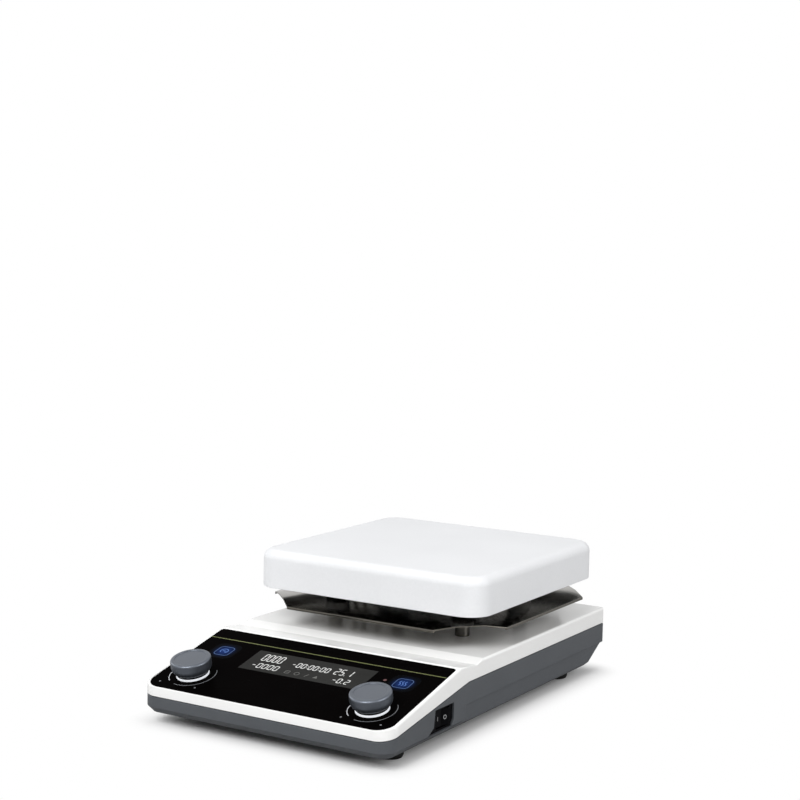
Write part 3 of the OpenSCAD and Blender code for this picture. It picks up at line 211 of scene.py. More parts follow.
def build_smudge(name: str) -> NodeTree:
    """Builds soft wiping marks that roughen a glossy surface in places.

    Args:
        name: Name of the group.

    Returns:
        The node group.
    """
    graph = GroupGraph(
        name, "ShaderNodeTree",
        {"Roughness": "Float", "Amount": "Float", "Scale": "Float"}, {"Roughness": "Float"})
    start = graph.start
    noise = graph.add("ShaderNodeTexNoise", {
        "Vector": graph.add("ShaderNodeTexCoord").outputs["Object"], "Scale": start["Scale"],
        "Detail": SMUDGE_DETAIL, "Distortion": SMUDGE_SWIRL})
    mask = graph.add("ShaderNodeMapRange", {
        "Value": noise.outputs[0], "From Min": SMUDGE_RANGE[0], "From Max": SMUDGE_RANGE[1]})
    graph.feed(graph.end, {"Roughness": graph.math(
        "MULTIPLY_ADD", mask.outputs[0], start["Amount"], start["Roughness"])})
    return graph.tree


EFFECT_BUILDERS = {
    Effect.GRAIN: partial(build_surface, stretch=EVEN),
    Effect.BRUSHED: partial(build_surface, stretch=ALONG_X),
    Effect.SMUDGE: build_smudge,
}


@dataclass(frozen=True)
class Finish:
    """A surface: two sRGB tones that wander over it, its grain and how it shines. Lengths are millimetres."""

    name: str
    dark: Tone
    light: Tone
    rough: Span
    grain: float = 0.6
    relief: float = 0.01
    cloud: float = 40.0
    effect: Effect = Effect.GRAIN
    smudge: float = 0.0
    smudge_size: float = 25.0
    metallic: float = 0.0
    specular: float = 0.5
    lit: Tone | None = None
    glow: float = 1.0
    halo: bool = False

    def material(self) -> Material:
        """Gives the finish's material, which is built on first use.

        Returns:
            The material.
        """
        made = bpy.data.materials.get(self.name)
        if made:
            return made
        made = bpy.data.materials.new(self.name)
        made.use_nodes = True
        graph = Graph(made.node_tree)
        shader = made.node_tree.nodes["Principled BSDF"]
        surface = graph.add("ShaderNodeGroup", {
            "Dark": tone(*self.dark), "Light": tone(*self.light),
            "Rough low": self.rough[0], "Rough high": self.rough[1],
            "Grain scale": 1 / (self.grain * MM), "Cloud scale": 1 / (self.cloud * MM),
        }, node_tree=self.effect.group())
        rough = surface.outputs["Roughness"]
        if self.smudge:
            rough = graph.add("ShaderNodeGroup", {
                "Roughness": rough, "Amount": self.smudge, "Scale": 1 / (self.smudge_size * MM),
            }, node_tree=Effect.SMUDGE.group()).outputs[0]
        bump = graph.add("ShaderNodeBump", {
            "Strength": 1.0, "Distance": self.relief * MM, "Height": surface.outputs["Height"]})
        graph.feed(shader, {
            "Base Color": surface.outputs["Colour"], "Roughness": rough, "Normal": bump.outputs[0],
            "Metallic": self.metallic, "Specular IOR Level": self.specular})
        if self.lit:
            graph.feed(shader, {"Emission Strength": self.glow, "Emission Color": self.emission(graph)})
        return made

    def emission(self, graph: Graph) -> Colour | NodeSocket:
        """Gives the colour that the finish shines in, even or fading from the middle of its UV map.

        Args:
            graph: The material's graph.

        Returns:
            A colour, or the socket that carries it.
        """
        if not self.halo:
            return tone(*self.lit)
        uv = graph.add("ShaderNodeUVMap").outputs[0]
        reach = graph.add("ShaderNodeVectorMath", {0: uv}, operation="LENGTH").outputs["Value"]
        fade = graph.add("ShaderNodeMapRange", {
            "Value": reach, "To Min": 1.0, "To Max": 0.0}, interpolation_type="SMOOTHERSTEP")
        return graph.add("ShaderNodeMix", {
            "Factor": fade.outputs[0], MIX_A: tone(0, 0, 0), MIX_B: tone(*self.lit),
        }, data_type="RGBA").outputs[MIX_OUT]


# Finishes that have more than tone and grain in common
brushed = partial(Finish, effect=Effect.BRUSHED, metallic=1.0)
ink = partial(Finish, rough=(0.4, 0.5))

# Finishes of the record's material slots
SLOT_FINISHES = {
    "cover_white": Finish(
        "White_satin_moulding", (235, 235, 234), (241, 241, 240), (0.16, 0.22), 0.7, 0.004, 60),
    "tray_grey": Finish(
        "Grey_spark_texture", (72, 75, 79), (80, 83, 87), (0.42, 0.54), 0.45, 0.03, 25, specular=0.3),
    "panel_black": Finish(
        "Black_panel_film", (4, 3, 3), (6, 5, 5), (0.22, 0.3), 0.3, 0.0005, 30, smudge=0.12, specular=0.001),
    "display_dark": Finish(
        "Smoked_display_glass", (38, 38, 37), (46, 46, 45), (0.16, 0.22), 0.2, 0.001, 30,
        smudge=0.1, specular=0.01),
    "circuit_board": Finish(
        "Green_board_lacquer", (14, 66, 36), (26, 96, 52), (0.3, 0.5), 1.2, 0.04, 9),
    "cable_grey": Finish(
        "Cable_sleeve", (128, 130, 133), (150, 152, 154), (0.45, 0.6), 0.6, 0.02, 14),
    "knob_grey": Finish(
        "Satin_knob_coat", (92, 97, 105), (101, 106, 114), (0.34, 0.4), 0.35, 0.003, 20,
        smudge=0.06, metallic=0.8),
    "light_ring": Finish(
        "Lit_ring_diffuser", (200, 202, 206), (214, 216, 220), (0.3, 0.4), 0.6, 0.004, 12,
        lit=(236, 240, 246), glow=0.45),
    "encoder_dark": Finish(
        "Encoder_moulding", (46, 50, 54), (60, 64, 68), (0.4, 0.55), 0.5, 0.02, 10),
    "steel": brushed(
        "Satin_steel", (176, 177, 178), (198, 199, 199), (0.2, 0.32), 0.25, 0.003, 18),
    "plunger_amber": Finish(
        "Amber_plunger", (190, 150, 70), (206, 164, 82), (0.35, 0.45), 0.5, 0.006, 8),
    "switch_black": Finish(
        "Switch_black", (3, 3, 5), (7, 7, 9), (0.3, 0.38), 0.35, 0.006, 12, smudge=0.1, specular=0.03),
    "socket_black": Finish(
        "Socket_black", (18, 18, 19), (28, 28, 29), (0.36, 0.48), 0.4, 0.012, 14),
    "contact_brass": brushed(
        "Nickel_brass", (196, 184, 146), (214, 204, 170), (0.2, 0.32), 0.2, 0.003, 6),
    "transformer_tan": Finish(
        "Transformer_tape", (158, 124, 62), (184, 150, 86), (0.35, 0.5), 0.8, 0.02, 8),
    "sink_aluminium": brushed(
        "Cast_aluminium", (170, 172, 174), (190, 192, 194), (0.3, 0.45), 0.4, 0.01, 12),
    "motor_case": Finish(
        "Plated_motor_case", (124, 126, 130), (146, 148, 152), (0.28, 0.4), 0.3, 0.006, 16, metallic=0.9),
    "magnet_dark": Finish(
        "Magnet_coating", (72, 74, 78), (92, 94, 98), (0.25, 0.4), 0.5, 0.01, 10, metallic=0.8),
    "plate_ceramic": Finish(
        "White_ceramic_coat", (223, 224, 226), (229, 230, 232), (0.5, 0.6), 1.6, 0.006, 70, specular=0.05),
    "heater_mica": Finish(
        "Mica_sheet", (142, 130, 98), (166, 152, 116), (0.35, 0.6), 1.5, 0.03, 10),
    "pad_fibre": Finish(
        "Fibre_pad", (214, 208, 192), (232, 228, 214), (0.8, 0.95), 0.9, 0.2, 12),
    "lead_glassfibre": Finish(
        "Glass_fibre_sleeve", (220, 214, 200), (236, 232, 220), (0.6, 0.75), 0.5, 0.06, 8),
    # The shield's darkened metal tone is painted shade and a painted dark reflection of the plate's shaded
    # underside
    "shield_steel": brushed(
        "Heat_tinted_sheet", (108, 105, 98), (126, 122, 115), (0.1, 0.15), 0.3, 0.0006, 30, smudge=0.08),
    # The spacers' near-black tone is painted shade, for the shade under the plate
    "spacer_ceramic": Finish(
        "Ceramic_painted_shade_dark", (34, 32, 29), (46, 43, 39), (0.45, 0.6), 0.5, 0.012, 9, specular=0.2),
    "foot_rubber": Finish(
        "Black_rubber", (14, 14, 14), (22, 22, 22), (0.65, 0.8), 0.6, 0.03, 10, specular=0.2),
}

# Finishes of print, marks and lit symbols, and of the posts
BLACK, NIGHT_BLUE = (6, 6, 6), (12, 16, 24)
DIGIT_LIT = ink("Lit_digits", (60, 60, 60), (66, 66, 66), lit=(228, 229, 227), specular=0.01)
DIGIT_DIM = ink("Dim_symbols", (34, 34, 34), (40, 40, 40), lit=(104, 104, 101), specular=0.01)
PRINT_WHITE = ink("White_print", (176, 178, 181), (196, 198, 201), specular=0.05)
PRINT_GREY = ink("Grey_print", (108, 110, 113), (124, 126, 129), specular=0.05)
PRINT_OLIVE = ink("Olive_print", (98, 103, 66), (108, 113, 74), specular=0.05)
ICON_FRAME = ink("Icon_frame", BLACK, NIGHT_BLUE, lit=(80, 104, 148), specular=0.01)
ICON_LINE = ink("Icon_symbol", BLACK, NIGHT_BLUE, lit=(90, 124, 190), specular=0.01)
ICON_GLOW = ink("Icon_glow", BLACK, (6, 8, 14), lit=(26, 50, 106), specular=0.004, halo=True)
LAMP_DIM = Finish("Unlit_lamp", (88, 62, 62), (104, 74, 74), (0.3, 0.4), specular=0.05)
MARK_WHITE = ink("Switch_mark", (150, 151, 152), (166, 167, 168), specular=0.1)
# The black collar on top of each lit ring is painted shade, for the shade that the knob casts on the ring
RING_SHADE_COLLAR = ink("Ring_collar", (12, 12, 13), (18, 18, 19), specular=0.1)
# The posts' dark steel tone is a painted dark reflection of the shade under the plate
POST_STEEL_PAINTED_DARK = brushed("Polished_post_steel", (70, 68, 64), (84, 82, 78), (0.1, 0.16), 0.3, 0.001, 12)

SLOT_OF = {row["node"]: row["material_slot"] for row in frame["record"]["subparts"]}
BODY_OF = {node: body for body, nodes in frame["record"]["behaviour"]["bodies"].items() for node in nodes}


def link(name: str, mesh: Mesh) -> Object:
    """Puts a mesh into the scene.

    Args:
        name: Name of the object and its mesh.
        mesh: The mesh.

    Returns:
        The object.
    """
    mesh.name = name
    made = bpy.data.objects.new(name, mesh)
    bpy.context.scene.collection.objects.link(made)
    return made


def evaluated_mesh(piece: Object) -> Mesh:
    """Applies an object's modifiers and removes the object.

    Args:
        piece: An object with modifiers, linked to the scene.

    Returns:
        A plain mesh of the result.
    """
    graph = bpy.context.evaluated_depsgraph_get()
    mesh = bpy.data.meshes.new_from_object(piece.evaluated_get(graph))
    old = piece.data
    bpy.data.objects.remove(piece)
    bpy.data.meshes.remove(old)
    return mesh


def mesh_of(bm: BMesh, place: Matrix = Matrix(), crisp: float = 0.0) -> Mesh:
    """Turns a bmesh into a mesh with outward faces and frees it.

    Args:
        bm: The bmesh.
        place: Where the shape goes, if it was made elsewhere.
        crisp: Degrees over which an edge of a smooth shape stays crisp, or 0 for a flat shape.

    Returns:
        The mesh.
    """
    bm.transform(place)
    bmesh.ops.recalc_face_normals(bm, faces=bm.faces)
    mesh = bpy.data.meshes.new("shape")
    bm.to_mesh(mesh)
    bm.free()
    if crisp:
        mesh.shade_smooth()
        mesh.set_sharp_from_angle(angle=math.radians(crisp))
    return mesh


def box_of(spots: Iterable[Vector]) -> tuple[Vector, Vector]:
    """Gives the lowest and the highest corner of a set of points."""
    columns = list(zip(*spots))
    return Vector([min(column) for column in columns]), Vector([max(column) for column in columns])


def plane(origin: Vector, across: Vector, out: Vector) -> Matrix:
    """Gives a frame in millimetres at a point of a face, with x across the face and z out of it."""
    axes = Matrix((across, out.cross(across), out)).transposed().to_4x4()
    return Matrix.Translation(origin) @ axes @ Matrix.Scale(MM, 4)


def show(name: str, mesh: Mesh, finish: Finish, body: str, slot: str, *nodes: str) -> None:
    """Adds a finished piece that rides on a body.

    Args:
        name: Name of the piece.
        mesh: Its mesh, in place.
        finish: Its finish.
        body: The body that carries it.
        slot: The record's material slot that it belongs to; not used.
        *nodes: Nodes that the piece stands for.
    """
    piece = link(name, mesh)
    mesh.materials.clear()
    mesh.materials.append(finish.material())
    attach(piece, body)
    if nodes:
        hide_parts(*nodes)
    LOG.info("%s: %d faces on %s", name, len(mesh.polygons), body)


def merged(node: str) -> BMesh:
    """Copies a node's loose triangles into a bmesh and joins them.

    Args:
        node: Name of the node.

    Returns:
        The bmesh, which the caller frees.
    """
    bm = bmesh.new()
    bm.from_mesh(frame["nodes"][node].data)
    bmesh.ops.remove_doubles(bm, verts=bm.verts, dist=WELD * MM)
    bmesh.ops.dissolve_degenerate(bm, dist=SLIVER * MM, edges=bm.edges)
    return bm


def creased(mesh: Mesh) -> None:
    """Marks the shallow creases between a mesh's own faces, and lets its rounded edges shade smoothly.

    A crease runs on into the rounded edge at its end, so that the faces beside it shade on their own.

    Args:
        mesh: A mesh whose rounded edges carry the second material index.
    """
    bm = bmesh.new()
    bm.from_mesh(mesh)
    # How many of the two faces beside each edge belong to a rounding
    rounded = {edge: sum(face.material_index for face in edge.link_faces)
               for edge in bm.edges if len(edge.link_faces) == 2}
    creases = [edge for edge, count in rounded.items()
               if not count and edge.calc_face_angle() > math.radians(CREASE_DEG)]
    for edge in creases:
        edge.smooth = False
        for near in (near for end in edge.verts for near in end.link_edges):
            if rounded.get(near) == 2:
                near.smooth = False
    for face in bm.faces:
        face.material_index = 0
    bm.to_mesh(mesh)
    bm.free()
    mesh.materials.clear()


def softened(node: str, width: float) -> Mesh:
    """Copies a node's shape and rounds its sharp edges.

    Where edges meet in a tight corner, a point that the rounding throws out is put back on the shape.

    Args:
        node: Name of the node.
        width: Width of the rounding in millimetres.

    Returns:
        The mesh.
    """
    bm = merged(node)
    surface = BVHTree.FromBMesh(bm)
    mesh = bpy.data.meshes.new(node)
    bm.to_mesh(mesh)
    bm.free()
    mesh.shade_smooth()
    for _ in ("own", "rounded"):
        mesh.materials.append(None)
    piece = link(node + "_soft", mesh)
    bevel = piece.modifiers.new("Edges", "BEVEL")
    bevel.width = width * MM
    bevel.segments = ROUND_STEPS
    bevel.limit_method = "ANGLE"
    bevel.angle_limit = math.radians(ROUND_DEG)
    bevel.use_clamp_overlap = False
    bevel.loop_slide = False
    bevel.material = 1
    made = evaluated_mesh(piece)
    for vert in made.vertices:
        spot, _, _, gap = surface.find_nearest(vert.co)
        if gap > width * MM:
            vert.co = spot
    creased(made)
    piece = link(node + "_soft", made)
    normals = piece.modifiers.new("Normals", "WEIGHTED_NORMAL")
    normals.keep_sharp = True
    return evaluated_mesh(piece)


def dress(width: float, *nodes: str, finish: Finish | None = None) -> None:
    """Shows nodes with rounded edges.

    Args:
        width: Width of the rounding in millimetres.
        *nodes: Names of the nodes.
        finish: Their finish, where it isn't their slot's.
    """
    for node in nodes:
        slot = SLOT_OF[node]
        look = finish or SLOT_FINISHES[slot]
        show(node + "_dressed", softened(node, width), look, BODY_OF[node], slot, node)


def at_corners(name: str) -> list[str]:
    """Gives the names of the four nodes of a kind that stand at the corners."""
    return [f"{name}_{row}_{side}" for row in ("front", "rear") for side in ("left", "right")]


def stroke(bm: BMesh, points: Sequence[Point], width: float, closed: bool = False) -> None:
    """Adds a flat line of even width, as a thin solid, in millimetres.

    Args:
        bm: The bmesh that takes it.
        points: The line's middle.
        width: Its width.
        closed: Whether its end meets its start.
    """
    count = len(points)
    corners = ((1, PRINT_LOW), (-1, PRINT_LOW), (-1, PRINT_HIGH), (1, PRINT_HIGH))
    rows = []
    for i, spot in enumerate(points):
        here = Vector(spot)
        before = Vector(points[i - 1]) if closed or i else here
        after = Vector(points[(i + 1) % count]) if closed or i < count - 1 else here
        first = (here - before).normalized() if here != before else (after - here).normalized()
        second = (after - here).normalized() if after != here else first
        along = (first + second).normalized()
        side = Vector((-along.y, along.x)) * (width / 2 / max(along.dot(first), MITRE_MIN))
        rows.append([bm.verts.new((*(here + side * way), z)) for way, z in corners])
    spans = list(zip(rows, rows[1:])) + ([(rows[-1], rows[0])] if closed else [])
    for one, two in spans:
        for k in range(len(corners)):
            bm.faces.new((one[k - 1], one[k], two[k], two[k - 1]))
    if not closed:
        bm.faces.new(rows[0])
        bm.faces.new(rows[-1])


def patch(bm: BMesh, outline: Sequence[Point], high: float = PRINT_HIGH) -> None:
    """Adds a filled outline as a thin solid up to a height, in millimetres."""
    loft(bm, [[Vector((*spot, z)) for spot in outline] for z in (PRINT_LOW, high)])


def loft(bm: BMesh, rings: Sequence[Sequence[Vector]]) -> None:
    """Joins rings of equal count by faces and closes both ends.

    Args:
        bm: The bmesh that takes the shape.
        rings: The rings, from one end to the other.
    """
    rows = [[bm.verts.new(spot) for spot in ring] for ring in rings]
    for one, two in zip(rows, rows[1:]):
        for i in range(len(one)):
            bm.faces.new((one[i - 1], one[i], two[i], two[i - 1]))
    bm.faces.new(rows[0])
    bm.faces.new(rows[-1])


def turned(bm: BMesh, profile: Sequence[Point], middle: Point) -> None:
    """Turns a closed profile about an upright axis.

    Args:
        bm: The bmesh that takes the shape.
        profile: Radius and height of each corner.
        middle: Where the axis stands.
    """
    rows = [[bm.verts.new((middle[0] + r * x, middle[1] + r * y, z)) for r, z in profile]
            for x, y in circle(1, steps=TURN_STEPS)]
    for i, row in enumerate(rows):
        for k in range(len(profile)):
            bm.faces.new((rows[i - 1][k - 1], row[k - 1], row[k], rows[i - 1][k]))


def arc(radius: float, start: float, end: float, steps: int, middle: Point = (0, 0)) -> list[Point]:
    """Gives the points of an arc from one angle to another, both in degrees from +x."""
    turn = [math.radians(start + (end - start) * i / steps) for i in range(steps + 1)]
    return [(middle[0] + radius * math.cos(a), middle[1] + radius * math.sin(a)) for a in turn]


def circle(radius: float, middle: Point = (0, 0), steps: int = 32) -> list[Point]:
    """Gives the points of a full circle, without repeating the first."""
    return arc(radius, 0, 360, steps, middle)[:-1]


def rounded_square(side: float, radius: float, middle: Point) -> list[Point]:
    """Gives the outline of a square with round corners.

    Args:
        side: Side of the square.
        radius: Radius of its corners.
        middle: Its middle.

    Returns:
        The outline's points.
    """
    reach = side / 2 - radius
    points = []
    for k, (x, y) in enumerate(((1, 1), (-1, 1), (-1, -1), (1, -1))):
        centre = (middle[0] + x * reach, middle[1] + y * reach)
        points += arc(radius, 90 * k, 90 * k + 90, CORNER_STEPS, centre)
    return points


@dataclass
class Copies:
    """Places copies of a template's mesh on points with a Geometry Nodes tree."""

    TREE = "Copies_on_points"

    template: Mesh
    spots: list[Vector] = field(default_factory=list)
    turns: list[Vector] = field(default_factory=list)
    stretches: list[Vector] = field(default_factory=list)

    def place(self, spot: Vector, turn: float = 0.0, stretch: Vector = EVEN) -> None:
        """Adds a copy.

        Args:
            spot: Where it goes.
            turn: Its turn about Z in radians.
            stretch: Its factors of size.
        """
        self.spots.append(spot)
        self.turns.append(Vector((0, 0, turn)))
        self.stretches.append(stretch)

    def tree(self) -> NodeTree:
        """Gives the Geometry Nodes tree, which is built on first use.

        Returns:
            A tree that copies a template object onto points and sets its material.
        """
        made = bpy.data.node_groups.get(self.TREE)
        if made:
            return made
        graph = GroupGraph(
            self.TREE, "GeometryNodeTree",
            {"Points": "Geometry", "Template": "Object", "Size": "Float", "Finish": "Material"},
            {"Copies": "Geometry"})
        start = graph.start
        template = graph.add("GeometryNodeObjectInfo", {"Object": start["Template"]})
        turn, stretch = (
            graph.add("GeometryNodeInputNamedAttribute", {"Name": name}, data_type="FLOAT_VECTOR")
            for name in ("turn", "stretch"))
        size = graph.add("ShaderNodeVectorMath", {0: stretch.outputs["Attribute"], "Scale": start["Size"]},
                         operation="SCALE")
        copies = graph.add("GeometryNodeInstanceOnPoints", {
            "Points": start["Points"], "Instance": template.outputs["Geometry"],
            "Rotation": turn.outputs["Attribute"], "Scale": size.outputs[0]})
        real = graph.add("GeometryNodeRealizeInstances", {0: copies.outputs[0]})
        finish = graph.add("GeometryNodeSetMaterial", {
            "Geometry": real.outputs[0], "Material": start["Finish"]})
        graph.feed(graph.end, {"Copies": finish.outputs[0]})
        return graph.tree

    def mesh(self, finish: Finish, size: float = 1.0) -> Mesh:
        """Makes the copies one plain mesh.

        Args:
            finish: Their finish.
            size: A factor on all copies.

        Returns:
            The mesh.
        """
        points = bpy.data.meshes.new("points")
        points.from_pydata(self.spots, [], [])
        columns = {"turn": self.turns, "stretch": self.stretches}
        for name, values in columns.items():
            column = points.attributes.new(name, "FLOAT_VECTOR", "POINT")
            column.data.foreach_set("vector", [number for value in values for number in value])
        template = link("template", self.template)
        piece = link("copies", points)
        modifier = piece.modifiers.new("Copies", "NODES")
        modifier.node_group = self.tree()
        values = {"Template": template, "Size": size, "Finish": finish.material()}
        for item in modifier.node_group.interface.items_tree:
            if item.in_out == "INPUT" and item.name in values:
                modifier[item.identifier] = values[item.name]
        made = evaluated_mesh(piece)
        bpy.data.objects.remove(template)
        for name in columns:
            if name in made.attributes:
                made.attributes.remove(made.attributes[name])
        return made


@dataclass
class ControlSlope:
    """The black panel with its display, print, lit symbols and two knobs.

    Places on the panel are (x, t): across from its middle and up from its front edge, in millimetres.
    Arcs are degrees from +x, and barbs are places beside the tip of the arrow.
    """

    edge: float = 0.2
    knob_edge: float = 0.15
    ring_edge: float = 0.3
    ring_edge_mid: float = 0.1
    ring_w: float = 3.0
    lens_h: float = 1.25
    shade_collar_in: float = 0.5
    stripe_t: float = 71.7
    stripe_end: float = 90.6
    stripe_w: float = 0.8
    icon_x: float = 68.6
    icon_t: float = 56.2
    icon_side: float = 11.2
    icon_corner: float = 2.6
    icon_frame_w: float = 0.5
    icon_line_w: float = 0.6
    halo_side: float = 20.0
    halo_corner: float = 6.0
    halo_top: float = 0.02
    arrow_r: float = 2.7
    arrow_arc: Span = (-40, 230)
    arrow_steps: int = 32
    barbs: tuple[Point, Point] = ((-1.2, 0.5), (0.2, 1.4))
    barb_w: float = 0.55
    dash_half: float = 1.2
    dash_w: float = 0.8
    wave_x: Sequence[float] = (-2, 0, 2)
    wave_sway: float = 0.7
    wave_h: float = 5.2
    wave_steps: int = 12
    lamp_x: float = 55.5
    lamp_t: float = 56.5
    lamp_r: float = 1.2
    scale_r: float = 15.4
    scale_arc: Span = (256, 400)
    scale_w: float = 0.45
    scale_steps: int = 64
    start_arc: Span = (150, 232)
    start_w: float = 0.6
    start_steps: int = 32
    dot_t: float = 6.7
    dot_x: Sequence[float] = (55.0, 83.0)
    dot_r: float = 0.7
    dot_steps: int = 20

    def __post_init__(self) -> None:
        """Works out the panel's own frame from the knobs' joint and the panel's solid."""
        axis = next(row["axis"] for row in frame["joints"] if row["name"] == "stir_turn")
        out = Vector(axis).normalized()
        across = Vector((1, 0, 0))
        up = out.cross(across)
        corners = [v.co for v in frame["nodes"]["control_panel"].data.vertices]
        origin = out * max(c.dot(out) for c in corners) + up * min(c.dot(up) for c in corners)
        self.frame = plane(origin, across, out)

    def local_box(self, node: str) -> tuple[Vector, Vector]:
        """Gives a node's lowest and highest corner in the panel's own frame, as (x, t, height)."""
        back = self.frame.inverted()
        return box_of(back @ v.co for v in frame["nodes"][node].data.vertices)

    def printed(self, name: str, bm: BMesh, finish: Finish, crisp: float = 0.0) -> None:
        """Shows print, or a smooth shape, that was drawn in the panel's frame."""
        show(name, mesh_of(bm, self.frame, crisp), finish, "base", "panel_black")

    def build(self) -> None:
        """Builds the panel and everything on it."""
        dress(self.edge, "control_panel")
        dress(self.edge / 2, "display_window")
        for side in ("stir", "heat"):
            dress(self.knob_edge, f"{side}_knob")
            self.build_ring(side)
        self.build_print()
        self.build_icons()
        DisplayPrint(self).build()

    def build_ring(self, side: str) -> None:
        """Builds a lit lens around a knob's shaft, with a black collar above it that is painted shade, for the
        shade that the knob casts on the ring.

        Args:
            side: Which knob, "stir" or "heat".
        """
        node = f"{side}_light_ring"
        low, high = self.local_box(node)
        middle = ((low.x + high.x) / 2, (low.y + high.y) / 2)
        outer = (high.x - low.x) / 2
        inner = outer - self.ring_w
        step = outer - self.shade_collar_in
        top = low.z + self.lens_h
        soft, mid = self.ring_edge, self.ring_edge_mid
        lens, shade_collar = bmesh.new(), bmesh.new()
        turned(lens, [
            (inner, low.z), (outer, low.z), (outer, top - soft), (outer - mid, top - mid),
            (outer - soft, top), (inner, top)], middle)
        turned(shade_collar, [
            (inner, top), (step, top), (step, high.z - soft), (step - soft, high.z), (inner, high.z)], middle)
        lit = mesh_of(lens, self.frame, ROUND_DEG)
        show(f"{side}_ring_lens", lit, SLOT_FINISHES["light_ring"], "base", "light_ring", node)
        self.printed(f"{side}_ring_collar", shade_collar, RING_SHADE_COLLAR, ROUND_DEG)

    def build_print(self) -> None:
        """Draws the line behind the display, and each knob's open ring with its bright start and two dots."""
        stripe, ring, start = (bmesh.new() for _ in range(3))
        stroke(stripe, [(way * self.stripe_end, self.stripe_t) for way in (-1, 1)], self.stripe_w)
        knob_t = sum(corner.y for corner in self.local_box("stir_knob")) / 2
        for node in ("stir_knob", "heat_knob"):
            middle = (sum(corner.x for corner in self.local_box(node)) / 2, knob_t)
            stroke(ring, arc(self.scale_r, *self.scale_arc, self.scale_steps, middle), self.scale_w)
            stroke(start, arc(self.scale_r, *self.start_arc, self.start_steps, middle), self.start_w)
        for side in (-1, 1):
            for x in self.dot_x:
                patch(ring, circle(self.dot_r, (side * x, self.dot_t), self.dot_steps))
        self.printed("panel_stripe", stripe, PRINT_OLIVE)
        self.printed("knob_scales", ring, PRINT_GREY)
        self.printed("knob_scale_starts", start, PRINT_WHITE)

    def build_icons(self) -> None:
        """Draws the two lit symbols in their squares, with a glow around them, and the lamp."""
        lines, border, glow, lamp = (bmesh.new() for _ in range(4))
        for side in (-1, 1):
            middle = (side * self.icon_x, self.icon_t)
            stroke(border, rounded_square(self.icon_side, self.icon_corner, middle), self.icon_frame_w, True)
            patch(glow, rounded_square(self.halo_side, self.halo_corner, middle), self.halo_top)
        self.draw_arrow(lines)
        self.draw_heat(lines)
        patch(lamp, circle(self.lamp_r, (self.lamp_x, self.lamp_t), self.dot_steps))
        halo = mesh_of(glow, self.frame)
        self.add_halo_map(halo)
        show("icon_glow", halo, ICON_GLOW, "base", "panel_black")
        self.printed("icon_frames", border, ICON_FRAME)
        self.printed("icon_lines", lines, ICON_LINE)
        self.printed("status_lamp", lamp, LAMP_DIM)

    def draw_arrow(self, bm: BMesh) -> None:
        """Draws a stirring arrow round a dash on the left.

        Args:
            bm: The bmesh that takes the lines.
        """
        x, t = -self.icon_x, self.icon_t
        sweep = arc(self.arrow_r, *self.arrow_arc, self.arrow_steps, (x, t))
        tip = sweep[0]
        one, two = ((tip[0] + dx, tip[1] + dt) for dx, dt in self.barbs)
        stroke(bm, sweep, self.icon_line_w)
        stroke(bm, [one, tip, two], self.barb_w)
        stroke(bm, [(x - self.dash_half, t), (x + self.dash_half, t)], self.dash_w)

    def draw_heat(self, bm: BMesh) -> None:
        """Draws rising heat as three waves on the right.

        Args:
            bm: The bmesh that takes the lines.
        """
        shares = [step / self.wave_steps for step in range(self.wave_steps + 1)]
        for x in self.wave_x:
            stroke(bm, [(self.icon_x + x + self.wave_sway * math.sin(math.tau * share),
                         self.icon_t + self.wave_h * (share - 0.5)) for share in shares], self.icon_line_w)

    def add_halo_map(self, mesh: Mesh) -> None:
        """Gives the glow a UV map that is 0 in the middle of each symbol and 1 at its rim.

        Args:
            mesh: The glow's mesh, in place.
        """
        back = self.frame.inverted()
        reach = self.halo_side / 2
        layer = mesh.uv_layers.new(name="Halo")
        for loop in mesh.loops:
            spot = back @ mesh.vertices[loop.vertex_index].co
            middle = math.copysign(self.icon_x, spot.x)
            layer.data[loop.index].uv = ((spot.x - middle) / reach, (spot.y - self.icon_t) / reach)


# The lit bars of each sign, lettered clockwise from the top, with g across the middle
SEGMENTS = {
    "0": "abcdef", "1": "bc", "2": "abged", "3": "abgcd", "4": "fgbc",
    "5": "afgcd", "6": "afgedc", "7": "abc", "8": "abcdefg", "9": "abcdfg", "-": "g",
}


